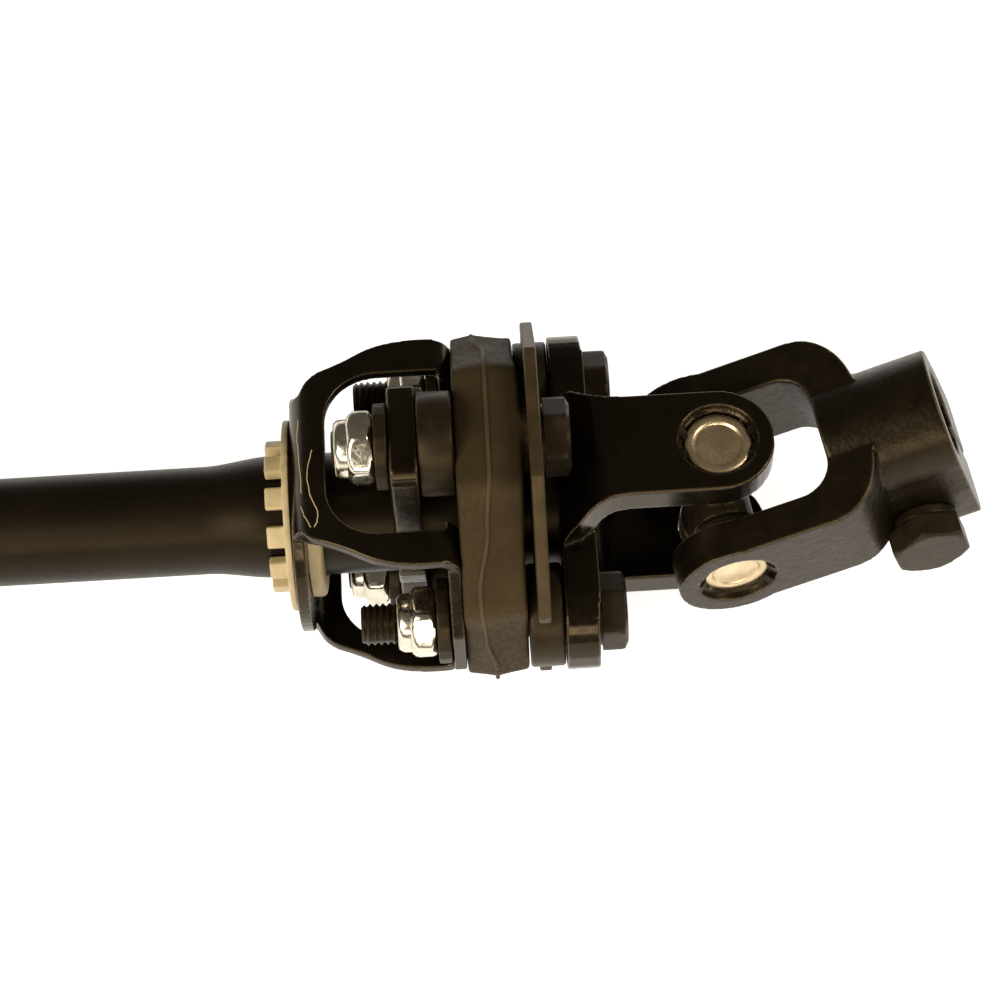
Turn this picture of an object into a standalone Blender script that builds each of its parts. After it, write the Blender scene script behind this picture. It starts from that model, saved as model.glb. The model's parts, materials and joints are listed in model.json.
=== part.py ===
"""Intermediate steering shaft: telescoping tube, rubber coupling and two universal joints.

The shaft runs along X. The origin is in the middle of the stop plate's lowest flat, on which the
coupling stands, so the shaft's axis is the stop plate's reach above the floor.
"""
import math

import bmesh
import bpy
from mathutils import Matrix, Vector

MM = 0.001

# Clearance of every fit, and the sides of round pieces
FIT_GAP = 0.25 * MM
SIDES = 16
CUP_SIDES = 20
FINE_SIDES = 28

# Rubber coupling
DISC_WIDTH = 76 * MM
DISC_THICKNESS = 14.5 * MM
DISC_CORNER = 5 * MM
DISC_CENTRE_BORE = 20 * MM
DISC_BOSS_HEIGHT = 2.0 * MM
DISC_BOSS_DIAMETER = 15.6 * MM
BOLT_CIRCLE_RADIUS = 30 * MM
SPACER_DIAMETER = 24 * MM
SPACER_LENGTH = 8 * MM
STOP_PLATE_REACH = 42.2 * MM
STOP_PLATE_SIDE = 39.5 * MM
STOP_PLATE_CORNER = 16.8 * MM
STOP_PLATE_THICKNESS = 3 * MM
STOP_CLEARANCE = 2 * MM

# Fasteners of the coupling
BOLT_DIAMETER = 10 * MM
BOLT_LENGTH_TUBE_SIDE = 48 * MM
BOLT_LENGTH_YOKE_SIDE = 55 * MM
HEAD_ACROSS_FLATS = 16 * MM
HEAD_HEIGHT = 6.4 * MM
WASHER_DIAMETER = 20 * MM
WASHER_THICKNESS = 3 * MM
NUT_HEX_HEIGHT = 6 * MM
NUT_COLLAR_HEIGHT = 3 * MM
NUT_COLLAR_DIAMETER = 14.6 * MM

# Tube and its flange
TUBE_DIAMETER = 25.4 * MM
TUBE_WALL = 2.4 * MM
TUBE_BELL_DIAMETER = 28.7 * MM
TUBE_BELL_LENGTH = 10 * MM
TUBE_LENGTH = 168 * MM
FLANGE_WIDTH = 26 * MM
FLANGE_REACH = 38 * MM
FLANGE_THICKNESS = 6.4 * MM
FLANGE_CORNER = 4 * MM
FLANGE_HUB_DIAMETER = 35 * MM
FLANGE_SPIGOT_LENGTH = 5 * MM

# Coupling cage
CAGE_SHEET = 2.9 * MM
CAGE_LENGTH = 38.2 * MM
CAGE_HALF_HEIGHT = 28 * MM
CAGE_BASE_RADIUS = 27.5 * MM
CAGE_BASE_BEND = 9 * MM
CAGE_FOOT_BEND = 5.5 * MM
CAGE_ARM_ROOT_HALF_WIDTH = 18 * MM
CAGE_ARM_HALF_WIDTH = 29.5 * MM
CAGE_STRAP_WIDTH = 8.5 * MM
CAGE_WINDOW_CORNER = 11 * MM
CAGE_FOOT_REACH = 39 * MM
CAGE_FOOT_TIP_HALF_WIDTH = 8 * MM
CAGE_FOOT_INNER = 18.5 * MM
CAGE_FOOT_SLOPE_DROP = 2 * MM
CAGE_ROOT_EASE = 1.5 * MM
# Shares of the cage's length: where its arms are full wide, where they are slim, where the window starts
CAGE_ARM_FULL_AT = 0.62
CAGE_ARM_SLIM_AT = 0.25
CAGE_ARM_SLIM_SHARE = 0.8
CAGE_WINDOW_AT = 0.15

# Centring bushing
BUSHING_TEETH = 12
BUSHING_TOOTH_SPAN = math.radians(17)
BUSHING_TOOTH_LENGTH = 4.3 * MM
BUSHING_TOOTH_DIAMETER = 36 * MM
BUSHING_FLANGE_DIAMETER = 45 * MM
BUSHING_FLANGE_THICKNESS = 1.6 * MM
BUSHING_NECK_DIAMETER = 35 * MM
BUSHING_COLLAR_DIAMETER = 39 * MM
BUSHING_COLLAR_LENGTH = 7 * MM

# Coupling yoke
YOKE_PLATE = 7.8 * MM
YOKE_EAR_WIDTH = 26 * MM
YOKE_EAR_OUTER = 24.8 * MM
YOKE_BEND_INNER = 7 * MM
YOKE_FILLET = 16 * MM
JOINT_FROM_DISC = 46 * MM

# Universal joints
CUP_DIAMETER = 16 * MM
CUP_WALL = 1.4 * MM
CUP_LENGTH = 9.6 * MM
CUP_RECESS = 1.8 * MM
RECESS_DIAMETER = 18.3 * MM
TRUNNION_DIAMETER = 10 * MM
CROSS_SHOULDER_DIAMETER = 15 * MM
CROSS_SHOULDER_REACH = 10.2 * MM
SEAL_DIAMETER = 15.4 * MM
NEAR_CROSS_TURN = math.radians(8.3)
NEAR_YOKE_TURN = math.radians(-17.7)
FAR_CROSS_TURN = math.radians(-6)
FAR_YOKE_TURN = math.radians(14)

# Clamp yokes
CLAMP_EAR_DIAMETER = 28 * MM
CLAMP_EAR_OUTER = 24.4 * MM
CLAMP_EAR_THICKNESS = 9 * MM
CLAMP_ARM_WIDTH = 26 * MM
CLAMP_U_DEPTH = 26 * MM
CLAMP_LENGTH = 57 * MM
CLAMP_FORK_END = 10 * MM
CLAMP_BARREL_OVERLAP = 1 * MM
# Shares of the fork's depth and of its half opening
FORK_SHOULDER_AT = 0.42
FORK_SWEEP = 0.78
FORK_THROAT = 0.9
BARREL_DIAMETER = 29 * MM
BARREL_BORE = 19.4 * MM
CLAMP_SLOT = 2.2 * MM
PINCH_FROM_END = 13.5 * MM
PINCH_OFFSET = 16.2 * MM
PINCH_EAR_LENGTH = 25 * MM
PINCH_EAR_HALF_WIDTH = 16.5 * MM
PINCH_EAR_DEPTH = 25.5 * MM
PINCH_EAR_CORNER = 5 * MM
PINCH_EAR_TOP = 1 * MM
# Shares of the ears' half width at their top, and of the barrel's radius where they are full wide
PINCH_EAR_TOP_SHARE = 0.86
PINCH_EAR_FULL_AT = 0.5
PINCH_SLOT_BEHIND = 3 * MM
PINCH_BOLT_DIAMETER = 10 * MM
PINCH_BOLT_LENGTH = 36 * MM
PINCH_HEAD_ACROSS_FLATS = 17 * MM
LOCK_WASHER_DIAMETER = 16.5 * MM
LOCK_WASHER_THICKNESS = 2.4 * MM
LOCK_WASHER_SPLIT = 1.2 * MM

# Telescoping half
SLIP_DIAMETER = 18 * MM
SLIP_FLAT_WIDTH = 15 * MM
SLIP_ENGAGED_LENGTH = 95 * MM
SLIP_FREE_LENGTH = 62 * MM
LINER_LENGTH = 70 * MM
LINER_STUD_DIAMETER = 4 * MM
LINER_STUD_ANGLE = math.radians(20)
LINER_STUD_SPACING = 14 * MM
SLIP_YOKE_BARREL_LENGTH = 16 * MM
SLIP_YOKE_SPIGOT = 8 * MM
SLIP_YOKE_WALL = 4 * MM

# Stations along the shaft, measured from the middle of the disc
DISC_FACE = DISC_THICKNESS / 2
FLANGE_FRONT = -DISC_FACE - SPACER_LENGTH - 2 * FIT_GAP
FLANGE_BACK = FLANGE_FRONT - FLANGE_THICKNESS
CAGE_FOOT_FRONT = -DISC_FACE - FIT_GAP
CAGE_BASE_FRONT = CAGE_FOOT_FRONT - CAGE_LENGTH + CAGE_SHEET
CAGE_BASE_BACK = CAGE_BASE_FRONT - CAGE_SHEET
STOP_PLATE_BACK = DISC_FACE + DISC_BOSS_HEIGHT + FIT_GAP
STOP_PLATE_FRONT = STOP_PLATE_BACK + STOP_PLATE_THICKNESS
YOKE_FOOT_BACK = DISC_FACE + SPACER_LENGTH + 2 * FIT_GAP
YOKE_FOOT_FRONT = YOKE_FOOT_BACK + YOKE_PLATE
NEAR_JOINT_X = DISC_FACE + JOINT_FROM_DISC
TUBE_FRONT = FLANGE_BACK - FIT_GAP
TUBE_BACK = TUBE_FRONT - TUBE_LENGTH
SLIP_FRONT = TUBE_BACK + SLIP_ENGAGED_LENGTH
SLIP_BACK = TUBE_BACK - SLIP_FREE_LENGTH
FAR_JOINT_X = SLIP_BACK - SLIP_YOKE_BARREL_LENGTH - CLAMP_U_DEPTH + SLIP_YOKE_SPIGOT
STOP_PLATE_MIDDLE = (STOP_PLATE_BACK + STOP_PLATE_FRONT) / 2

# Turns that stand a shape built in the XY plane, or turned about Z, along the shaft
ACROSS_X = Matrix(((0, 0, 1, 0), (1, 0, 0, 0), (0, 1, 0, 0), (0, 0, 0, 1)))
ACROSS_Y = Matrix(((1, 0, 0, 0), (0, 0, -1, 0), (0, 1, 0, 0), (0, 0, 0, 1)))
ACROSS_Z = Matrix.Identity(4)
ALONG_Y = Matrix.Rotation(-math.pi / 2, 4, "X")

for old_object in list(bpy.data.objects):
    bpy.data.objects.remove(old_object, do_unlink=True)

shaft_collection = bpy.data.collections.new("intermediate_steering_shaft")
cutter_collection = bpy.data.collections.new("cutters")
bpy.context.scene.collection.children.link(shaft_collection)
bpy.context.scene.collection.children.link(cutter_collection)


def make_material(name, colour, roughness, metallic):
    """A Principled material with one colour."""
    material = bpy.data.materials.new(name)
    material.use_nodes = True
    shader = material.node_tree.nodes["Principled BSDF"]
    shader.inputs["Base Color"].default_value = (*colour, 1)
    shader.inputs["Roughness"].default_value = roughness
    shader.inputs["Metallic"].default_value = metallic
    return material


MATERIALS = {
    "black_paint": make_material("black_paint", (0.012, 0.010, 0.008), 0.28, 0.0),
    "satin_black": make_material("satin_black", (0.014, 0.012, 0.010), 0.42, 0.0),
    "cast_black": make_material("cast_black", (0.016, 0.013, 0.010), 0.38, 0.0),
    "rubber": make_material("rubber", (0.035, 0.028, 0.018), 0.75, 0.0),
    "black_steel": make_material("black_steel", (0.022, 0.018, 0.014), 0.40, 0.6),
    "zinc": make_material("zinc", (0.62, 0.60, 0.55), 0.28, 1.0),
    "bright_steel": make_material("bright_steel", (0.50, 0.45, 0.36), 0.25, 1.0),
    "cream_plastic": make_material("cream_plastic", (0.60, 0.52, 0.30), 0.45, 0.0),
    "nylon": make_material("nylon", (0.62, 0.60, 0.50), 0.45, 0.0),
    "seal_rubber": make_material("seal_rubber", (0.02, 0.018, 0.015), 0.6, 0.0),
}


def make_pivot(name, parent, location=(0, 0, 0), turn=0.0, axis="Z"):
    """An empty that carries the pieces of one body."""
    pivot = bpy.data.objects.new(name, None)
    shaft_collection.objects.link(pivot)
    pivot.parent = parent
    pivot.matrix_local = Matrix.Translation(location) @ Matrix.Rotation(turn, 4, axis)
    return pivot


def arc(centre, radius, start, end, steps):
    """Points on an arc, ends included, angles in degrees."""
    points = []
    for step in range(steps + 1):
        angle = math.radians(start + (end - start) * step / steps)
        points.append((centre[0] + radius * math.cos(angle), centre[1] + radius * math.sin(angle)))
    return points


def mirrored(points):
    """Points followed by their mirror images across the first axis, in reverse."""
    return points + [(a, -b) for a, b in reversed(points)]


def mesh_object(name, mesh, collection=cutter_collection):
    shape = bpy.data.objects.new(name, mesh)
    collection.objects.link(shape)
    return shape


def evaluated_mesh(shape):
    """A shape's mesh with its modifiers applied."""
    bpy.context.view_layer.update()
    depsgraph = bpy.context.evaluated_depsgraph_get()
    return bpy.data.meshes.new_from_object(shape.evaluated_get(depsgraph))


def welded(mesh):
    """Merge doubled points and turn the faces outwards."""
    work = bmesh.new()
    work.from_mesh(mesh)
    bmesh.ops.remove_doubles(work, verts=work.verts, dist=0.00001)
    bmesh.ops.dissolve_degenerate(work, edges=work.edges, dist=0.000005)
    bmesh.ops.recalc_face_normals(work, faces=work.faces)
    work.to_mesh(mesh)
    work.free()
    return mesh


def prism(outline, low, high, stand=ACROSS_Z):
    """A flat outline with thickness, from low to high along its own normal."""
    curve = bpy.data.curves.new("outline", "CURVE")
    curve.dimensions = "2D"
    curve.fill_mode = "BOTH"
    curve.extrude = (high - low) / 2
    spline = curve.splines.new("POLY")
    spline.points.add(len(outline) - 1)
    for point, place in zip(spline.points, outline):
        point.co = (place[0], place[1], 0, 1)
    spline.use_cyclic_u = True
    holder = mesh_object("outline", curve)
    mesh = welded(evaluated_mesh(holder))
    bpy.data.objects.remove(holder)
    offset = (low + high) / 2
    if stand == ACROSS_Y:
        offset = -offset
    mesh.transform(stand @ Matrix.Translation((0, 0, offset)))
    return mesh_object("prism", mesh)


def turned(profile, stand=ACROSS_X, sides=SIDES):
    """A turned shape: (radius, height) points, outer side from top to bottom."""
    mesh = bpy.data.meshes.new("turned")
    work = bmesh.new()
    points = [work.verts.new((radius, 0, height)) for radius, height in profile]
    for first, second in zip(points, points[1:]):
        work.edges.new((first, second))
    if profile[0][0] > 0:
        work.edges.new((points[-1], points[0]))
    work.to_mesh(mesh)
    work.free()
    shape = mesh_object("turned", mesh)
    screw = shape.modifiers.new("turn", "SCREW")
    screw.axis = "Z"
    screw.steps = sides
    screw.render_steps = sides
    screw.use_merge_vertices = True
    screw.merge_threshold = 0.00001
    shape.data = welded(evaluated_mesh(shape))
    shape.modifiers.clear()
    shape.data.transform(stand)
    return shape


def rod(radius, low, high, stand=ACROSS_X, sides=SIDES, centre=(0, 0, 0)):
    """A plain cylinder from low to high along its axis."""
    mesh = bpy.data.meshes.new("rod")
    work = bmesh.new()
    bmesh.ops.create_cone(work, cap_ends=True, segments=sides, radius1=radius, radius2=radius,
                          depth=high - low, matrix=Matrix.Translation((0, 0, (low + high) / 2)))
    work.to_mesh(mesh)
    work.free()
    mesh.transform(Matrix.Translation(centre) @ stand)
    return mesh_object("rod", mesh)


def block(low, high):
    """A box between two corners."""
    size = Vector(high) - Vector(low)
    centre = (Vector(high) + Vector(low)) / 2
    mesh = bpy.data.meshes.new("block")
    work = bmesh.new()
    bmesh.ops.create_cube(work, size=1, matrix=Matrix.Translation(centre) @ Matrix.Diagonal((*size, 1)))
    work.to_mesh(mesh)
    work.free()
    return mesh_object("block", mesh)


def combine(shape, operation, *tools):
    """Join, cut or intersect a shape with others, which are used up."""
    for tool in tools:
        tool.hide_render = True
        tool.display_type = "WIRE"
        step = shape.modifiers.new(operation.lower(), "BOOLEAN")
        step.operation = operation
        step.solver = "EXACT"
        step.object = tool
        shape.data = welded(evaluated_mesh(shape))
        shape.modifiers.clear()
        bpy.data.objects.remove(tool)
    return shape


def finish(shape, name, material, parent, location=(0, 0, 0), turn=0.0, axis="X"):
    """Name a shape, give it its material and set it on its body."""
    shape.name = name
    shape.data.name = name
    shape.data.materials.clear()
    shape.data.materials.append(MATERIALS[material])
    shape.data.shade_smooth()
    shape.data.set_sharp_from_angle(angle=math.radians(30))
    cutter_collection.objects.unlink(shape)
    shaft_collection.objects.link(shape)
    shape.parent = parent
    shape.matrix_local = Matrix.Translation(location) @ Matrix.Rotation(turn, 4, axis)
    return shape


def copy_piece(shape, name, location=(0, 0, 0), turn=0.0, axis="X"):
    """Another piece with the same mesh, on the same body."""
    twin = bpy.data.objects.new(name, shape.data)
    shaft_collection.objects.link(twin)
    twin.parent = shape.parent
    twin.matrix_local = Matrix.Translation(location) @ Matrix.Rotation(turn, 4, axis)
    return twin


def hex_prism(across_flats, low, high, stand=ACROSS_X):
    """A hexagonal prism with a flat side up, its outer corners chamfered at the high end."""
    radius = across_flats / 2 / math.cos(math.pi / 6)
    hexagon = rod(radius, low, high, stand, sides=6)
    chamfer = radius - across_flats / 2
    envelope = turned([(0, high + FIT_GAP), (across_flats / 2, high + FIT_GAP),
                       (across_flats / 2, high),
                       (radius + chamfer, high - chamfer), (radius + chamfer, low - FIT_GAP),
                       (0, low - FIT_GAP)], stand)
    return combine(hexagon, "INTERSECT", envelope)


def make_disc(parent):
    """The eight-sided rubber disc, with a boss under the stop plate at the tube's bolts."""
    corner_radius = DISC_WIDTH / 2 / math.cos(math.pi / 8)
    outline = []
    for corner in range(8):
        angle = 45 * corner + 22.5
        centre_distance = corner_radius - DISC_CORNER / math.cos(math.pi / 8)
        centre = (centre_distance * math.cos(math.radians(angle)),
                  centre_distance * math.sin(math.radians(angle)))
        outline += arc(centre, DISC_CORNER, angle - 22.5, angle + 22.5, 3)
    disc = prism(outline, -DISC_FACE, DISC_FACE, ACROSS_X)
    for side in (1, -1):
        boss = rod(DISC_BOSS_DIAMETER / 2, 0, DISC_FACE + DISC_BOSS_HEIGHT,
                   centre=(0, 0, side * BOLT_CIRCLE_RADIUS))
        combine(disc, "UNION", boss)
    hole = BOLT_DIAMETER / 2 + FIT_GAP
    reach = DISC_THICKNESS + DISC_BOSS_HEIGHT
    for side in (1, -1):
        combine(disc, "DIFFERENCE",
                rod(hole, -reach, reach, centre=(0, 0, side * BOLT_CIRCLE_RADIUS)),
                rod(hole, -reach, reach, centre=(0, side * BOLT_CIRCLE_RADIUS, 0)))
    combine(disc, "DIFFERENCE", rod(DISC_CENTRE_BORE / 2, -reach, reach))
    return finish(disc, "flex_disc", "rubber", parent)


def ring(outer, inner, low, high, sides=SIDES, stand=ACROSS_X):
    """A flat ring or sleeve."""
    return turned([(outer, high), (outer, low), (inner, low), (inner, high)], stand, sides)


def make_stop_plate(parent):
    """Eight-sided plate behind the tube's bolt heads, notched round the yoke's spacers."""
    notch = SPACER_DIAMETER / 2 + STOP_CLEARANCE
    quarter = [(STOP_PLATE_SIDE, STOP_PLATE_CORNER), (STOP_PLATE_CORNER, STOP_PLATE_REACH)]
    upper = quarter + [(-across, up) for across, up in reversed(quarter)]
    plate = prism(mirrored(upper), STOP_PLATE_BACK, STOP_PLATE_FRONT, ACROSS_X)
    hole = BOLT_DIAMETER / 2 + FIT_GAP
    low = STOP_PLATE_BACK - STOP_PLATE_THICKNESS
    high = STOP_PLATE_FRONT + STOP_PLATE_THICKNESS
    for side in (1, -1):
        opening = arc((side * BOLT_CIRCLE_RADIUS, 0), notch, 90, 90 + side * 180, 12)
        opening += [(side * 2 * STOP_PLATE_REACH, -notch), (side * 2 * STOP_PLATE_REACH, notch)]
        combine(plate, "DIFFERENCE", prism(opening, low, high, ACROSS_X),
                rod(hole, low, high, centre=(0, 0, side * BOLT_CIRCLE_RADIUS)))
    combine(plate, "DIFFERENCE", rod(DISC_CENTRE_BORE / 2, low, high))
    return finish(plate, "stop_plate", "black_paint", parent)


def make_spacers(tube_body, yoke_body):
    """Two sleeves on each side of the disc."""
    sleeve = ring(SPACER_DIAMETER / 2, BOLT_DIAMETER / 2 + FIT_GAP, FIT_GAP, FIT_GAP + SPACER_LENGTH,
                  sides=FINE_SIDES)
    start = -DISC_FACE - 2 * FIT_GAP - SPACER_LENGTH
    tube_side = finish(sleeve, "tube_spacer_front", "black_steel", tube_body,
                       (start, 0, BOLT_CIRCLE_RADIUS))
    copy_piece(tube_side, "tube_spacer_rear", (start, 0, -BOLT_CIRCLE_RADIUS))
    for name, side in (("yoke_spacer_lower", -1), ("yoke_spacer_upper", 1)):
        piece = copy_piece(tube_side, name, (DISC_FACE, side * BOLT_CIRCLE_RADIUS, 0))
        piece.parent = yoke_body


def make_tube_flange(parent):
    """The thick bar on the tube's end, with a hub and a spigot in the tube's bore."""
    half = FLANGE_WIDTH / 2
    end = FLANGE_REACH - FLANGE_CORNER
    side = half - FLANGE_CORNER
    outline = (arc((side, end), FLANGE_CORNER, 0, 90, 3) + arc((-side, end), FLANGE_CORNER, 90, 180, 3)
               + arc((-side, -end), FLANGE_CORNER, 180, 270, 3)
               + arc((side, -end), FLANGE_CORNER, 270, 360, 3))
    flange = prism(outline, FLANGE_BACK, FLANGE_FRONT, ACROSS_X)
    spigot = TUBE_BELL_DIAMETER / 2 - TUBE_WALL - FIT_GAP
    hub = turned([(0, FLANGE_FRONT), (FLANGE_HUB_DIAMETER / 2, FLANGE_FRONT),
                  (FLANGE_HUB_DIAMETER / 2, FLANGE_BACK), (spigot, FLANGE_BACK),
                  (spigot, FLANGE_BACK - FLANGE_SPIGOT_LENGTH), (0, FLANGE_BACK - FLANGE_SPIGOT_LENGTH)])
    combine(flange, "UNION", hub)
    for place in (BOLT_CIRCLE_RADIUS, -BOLT_CIRCLE_RADIUS):
        combine(flange, "DIFFERENCE", rod(BOLT_DIAMETER / 2 + FIT_GAP, FLANGE_BACK - FLANGE_THICKNESS,
                                          FLANGE_FRONT + FLANGE_THICKNESS, centre=(0, 0, place)))
    return finish(flange, "tube_flange", "black_paint", parent)


def make_cage(parent):
    """Stamped cage: a round base plate, two windowed arms and two feet on the disc."""
    inner_height = CAGE_HALF_HEIGHT - CAGE_SHEET
    reach = CAGE_FOOT_REACH + CAGE_SHEET
    base_in = CAGE_BASE_BEND - CAGE_SHEET
    foot_in = CAGE_FOOT_BEND - CAGE_SHEET
    foot_back = CAGE_FOOT_FRONT - CAGE_SHEET

    def section(back, front, height, base_bend, foot_bend):
        half = arc((front - foot_bend, height - foot_bend), foot_bend, 0, 90, 5)
        half += arc((back + base_bend, height - base_bend), base_bend, 90, 180, 6)
        return mirrored(half)

    outer = section(CAGE_BASE_BACK, CAGE_FOOT_FRONT, CAGE_HALF_HEIGHT, CAGE_BASE_BEND, CAGE_FOOT_BEND)
    inner = section(CAGE_BASE_FRONT, foot_back, inner_height, base_in, foot_in)
    cage = prism(outer, -reach, reach, ACROSS_Y)
    combine(cage, "DIFFERENCE", prism(inner, -2 * reach, 2 * reach, ACROSS_Y))

    # Outline of the arms seen from above: narrow at the base plate, wide at the feet
    far = CAGE_FOOT_FRONT + CAGE_SHEET
    near = CAGE_BASE_BACK - CAGE_SHEET
    arm_end = foot_back - FIT_GAP
    arms = mirrored([
        (far, CAGE_FOOT_REACH), (arm_end, CAGE_FOOT_REACH), (arm_end, CAGE_ARM_HALF_WIDTH),
        (CAGE_BASE_FRONT + CAGE_ARM_FULL_AT * CAGE_LENGTH, CAGE_ARM_HALF_WIDTH),
        (CAGE_BASE_FRONT + CAGE_ARM_SLIM_AT * CAGE_LENGTH, CAGE_ARM_SLIM_SHARE * CAGE_ARM_HALF_WIDTH),
        (CAGE_BASE_FRONT, CAGE_ARM_ROOT_HALF_WIDTH + CAGE_ROOT_EASE),
        (CAGE_BASE_FRONT - FIT_GAP, CAGE_BASE_RADIUS), (near, CAGE_BASE_RADIUS)])
    combine(cage, "INTERSECT", prism(arms, -2 * reach, 2 * reach))

    # Outline along the shaft: round base plate with the arms' roots, and the pointed feet
    root_angle = math.degrees(math.acos(CAGE_ARM_ROOT_HALF_WIDTH / CAGE_BASE_RADIUS))
    base = arc((0, 0), CAGE_BASE_RADIUS, -root_angle, root_angle, 10)
    base += [(CAGE_ARM_ROOT_HALF_WIDTH, 2 * reach), (-CAGE_ARM_ROOT_HALF_WIDTH, 2 * reach)]
    base += arc((0, 0), CAGE_BASE_RADIUS, 180 - root_angle, 180 + root_angle, 10)
    base += [(-CAGE_ARM_ROOT_HALF_WIDTH, -2 * reach), (CAGE_ARM_ROOT_HALF_WIDTH, -2 * reach)]
    keep = prism(base, near, CAGE_BASE_FRONT + FIT_GAP, ACROSS_X)
    combine(keep, "UNION", block((CAGE_BASE_FRONT, -2 * reach, -2 * reach),
                                 (arm_end, 2 * reach, 2 * reach)))
    foot_slope_start = inner_height
    feet = mirrored([(CAGE_FOOT_REACH, CAGE_FOOT_TIP_HALF_WIDTH),
                     (CAGE_ARM_HALF_WIDTH, foot_slope_start - CAGE_FOOT_SLOPE_DROP),
                     (CAGE_ARM_HALF_WIDTH, 2 * reach), (CAGE_FOOT_INNER, 2 * reach)])
    for side in (1, -1):
        foot = prism([(side * across, up) for across, up in feet], arm_end - FIT_GAP, far, ACROSS_X)
        combine(keep, "UNION", foot)
    combine(cage, "INTERSECT", keep)

    # Windows in both arms, open to the space between the feet
    half = CAGE_ARM_HALF_WIDTH - CAGE_STRAP_WIDTH
    start = CAGE_BASE_FRONT + CAGE_WINDOW_AT * CAGE_LENGTH
    corner = CAGE_WINDOW_CORNER
    window = mirrored([(arm_end, half)] + arc((start + corner, half - corner), corner, 90, 180, 5))
    combine(cage, "DIFFERENCE", prism(window, -2 * reach, 2 * reach))

    neck = BUSHING_NECK_DIAMETER / 2 + FIT_GAP
    hole = BOLT_DIAMETER / 2 + FIT_GAP
    combine(cage, "DIFFERENCE", rod(neck, near, CAGE_BASE_FRONT + CAGE_SHEET, sides=FINE_SIDES))
    for side in (1, -1):
        combine(cage, "DIFFERENCE", rod(hole, arm_end - CAGE_SHEET, far,
                                        centre=(0, side * BOLT_CIRCLE_RADIUS, 0)))
    return finish(cage, "coupling_cage", "black_paint", parent)


def make_bushing(parent):
    """Plastic ring that centres the tube in the cage, castellated at its open end."""
    bore = TUBE_BELL_DIAMETER / 2 + FIT_GAP
    flange_front = CAGE_BASE_BACK - FIT_GAP
    flange_back = flange_front - BUSHING_FLANGE_THICKNESS
    collar_back = CAGE_BASE_FRONT + FIT_GAP
    collar_front = collar_back + BUSHING_COLLAR_LENGTH
    collar = BUSHING_COLLAR_DIAMETER / 2
    neck = BUSHING_NECK_DIAMETER / 2
    flange = BUSHING_FLANGE_DIAMETER / 2
    tooth = BUSHING_TOOTH_DIAMETER / 2
    bushing = turned([(collar - 2 * MM, collar_front), (collar - 0.6 * MM, collar_front - 0.6 * MM),
                      (collar, collar_front - 2 * MM), (collar, collar_back), (neck, collar_back),
                      (neck, flange_front), (flange, flange_front), (flange, flange_back),
                      (bore, flange_back), (bore, collar_front)], sides=3 * BUSHING_TEETH)
    step = 360 / BUSHING_TEETH
    span = math.degrees(BUSHING_TOOTH_SPAN) / 2
    for index in range(BUSHING_TEETH):
        middle = step * (index + 0.5)
        outline = arc((0, 0), tooth, middle - span, middle + span, 2)
        outline += arc((0, 0), bore + FIT_GAP, middle + span, middle - span, 2)
        tooth_back = flange_back - BUSHING_TOOTH_LENGTH
        combine(bushing, "UNION", prism(outline, tooth_back, flange_back + FIT_GAP, ACROSS_X))
    return finish(bushing, "centring_bushing", "cream_plastic", parent)


def make_tube(parent):
    """The tube: belled over the bushing, open at the far end for the slip shaft."""
    radius = TUBE_DIAMETER / 2
    bell = TUBE_BELL_DIAMETER / 2
    bell_start = CAGE_BASE_BACK - BUSHING_FLANGE_THICKNESS - BUSHING_TOOTH_LENGTH
    profile = [(bell, TUBE_FRONT), (bell, bell_start), (radius, bell_start - TUBE_BELL_LENGTH),
               (radius, TUBE_BACK), (radius - TUBE_WALL, TUBE_BACK),
               (radius - TUBE_WALL, bell_start - TUBE_BELL_LENGTH),
               (bell - TUBE_WALL, bell_start), (bell - TUBE_WALL, TUBE_FRONT)]
    tube = turned(profile, sides=FINE_SIDES)
    for place in liner_stud_places():
        hole = rod(LINER_STUD_DIAMETER / 2 + FIT_GAP, 0, TUBE_DIAMETER, ACROSS_Z, 12, (place, 0, 0))
        hole.data.transform(Matrix.Rotation(-LINER_STUD_ANGLE, 4, "X"))
        combine(tube, "DIFFERENCE", hole)
    return finish(tube, "shaft_tube", "satin_black", parent)


def liner_stud_places():
    """Where the liner's injection studs stand along the tube."""
    middle = TUBE_BACK + LINER_LENGTH - LINER_STUD_DIAMETER * 2
    return [middle, middle - LINER_STUD_SPACING]


def double_flat(radius, half_flat, low, high):
    """A rod with two flats, as wide as half_flat allows."""
    shape = rod(radius, low, high, sides=FINE_SIDES)
    wide = 2 * radius
    return combine(shape, "INTERSECT", block((low - wide, -wide, -half_flat), (high + wide, wide, half_flat)))


def make_slip(tube_body, slip_body):
    """Nylon liner fixed in the tube by its studs, and the double-flat shaft that slides in it."""
    outer = TUBE_DIAMETER / 2 - TUBE_WALL - FIT_GAP
    liner = rod(outer, TUBE_BACK + FIT_GAP, TUBE_BACK + LINER_LENGTH, sides=FINE_SIDES)
    for place in liner_stud_places():
        stud = rod(LINER_STUD_DIAMETER / 2, outer / 2, TUBE_DIAMETER / 2, ACROSS_Z, 12, (place, 0, 0))
        stud.data.transform(Matrix.Rotation(-LINER_STUD_ANGLE, 4, "X"))
        combine(liner, "UNION", stud)
    bore = double_flat(SLIP_DIAMETER / 2 + FIT_GAP, SLIP_FLAT_WIDTH / 2 + FIT_GAP,
                       TUBE_BACK - LINER_LENGTH, TUBE_BACK + 2 * LINER_LENGTH)
    combine(liner, "DIFFERENCE", bore)
    finish(liner, "slip_liner", "nylon", tube_body)
    shaft = double_flat(SLIP_DIAMETER / 2, SLIP_FLAT_WIDTH / 2, SLIP_BACK, SLIP_FRONT)
    finish(shaft, "slip_shaft", "bright_steel", slip_body)


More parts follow.
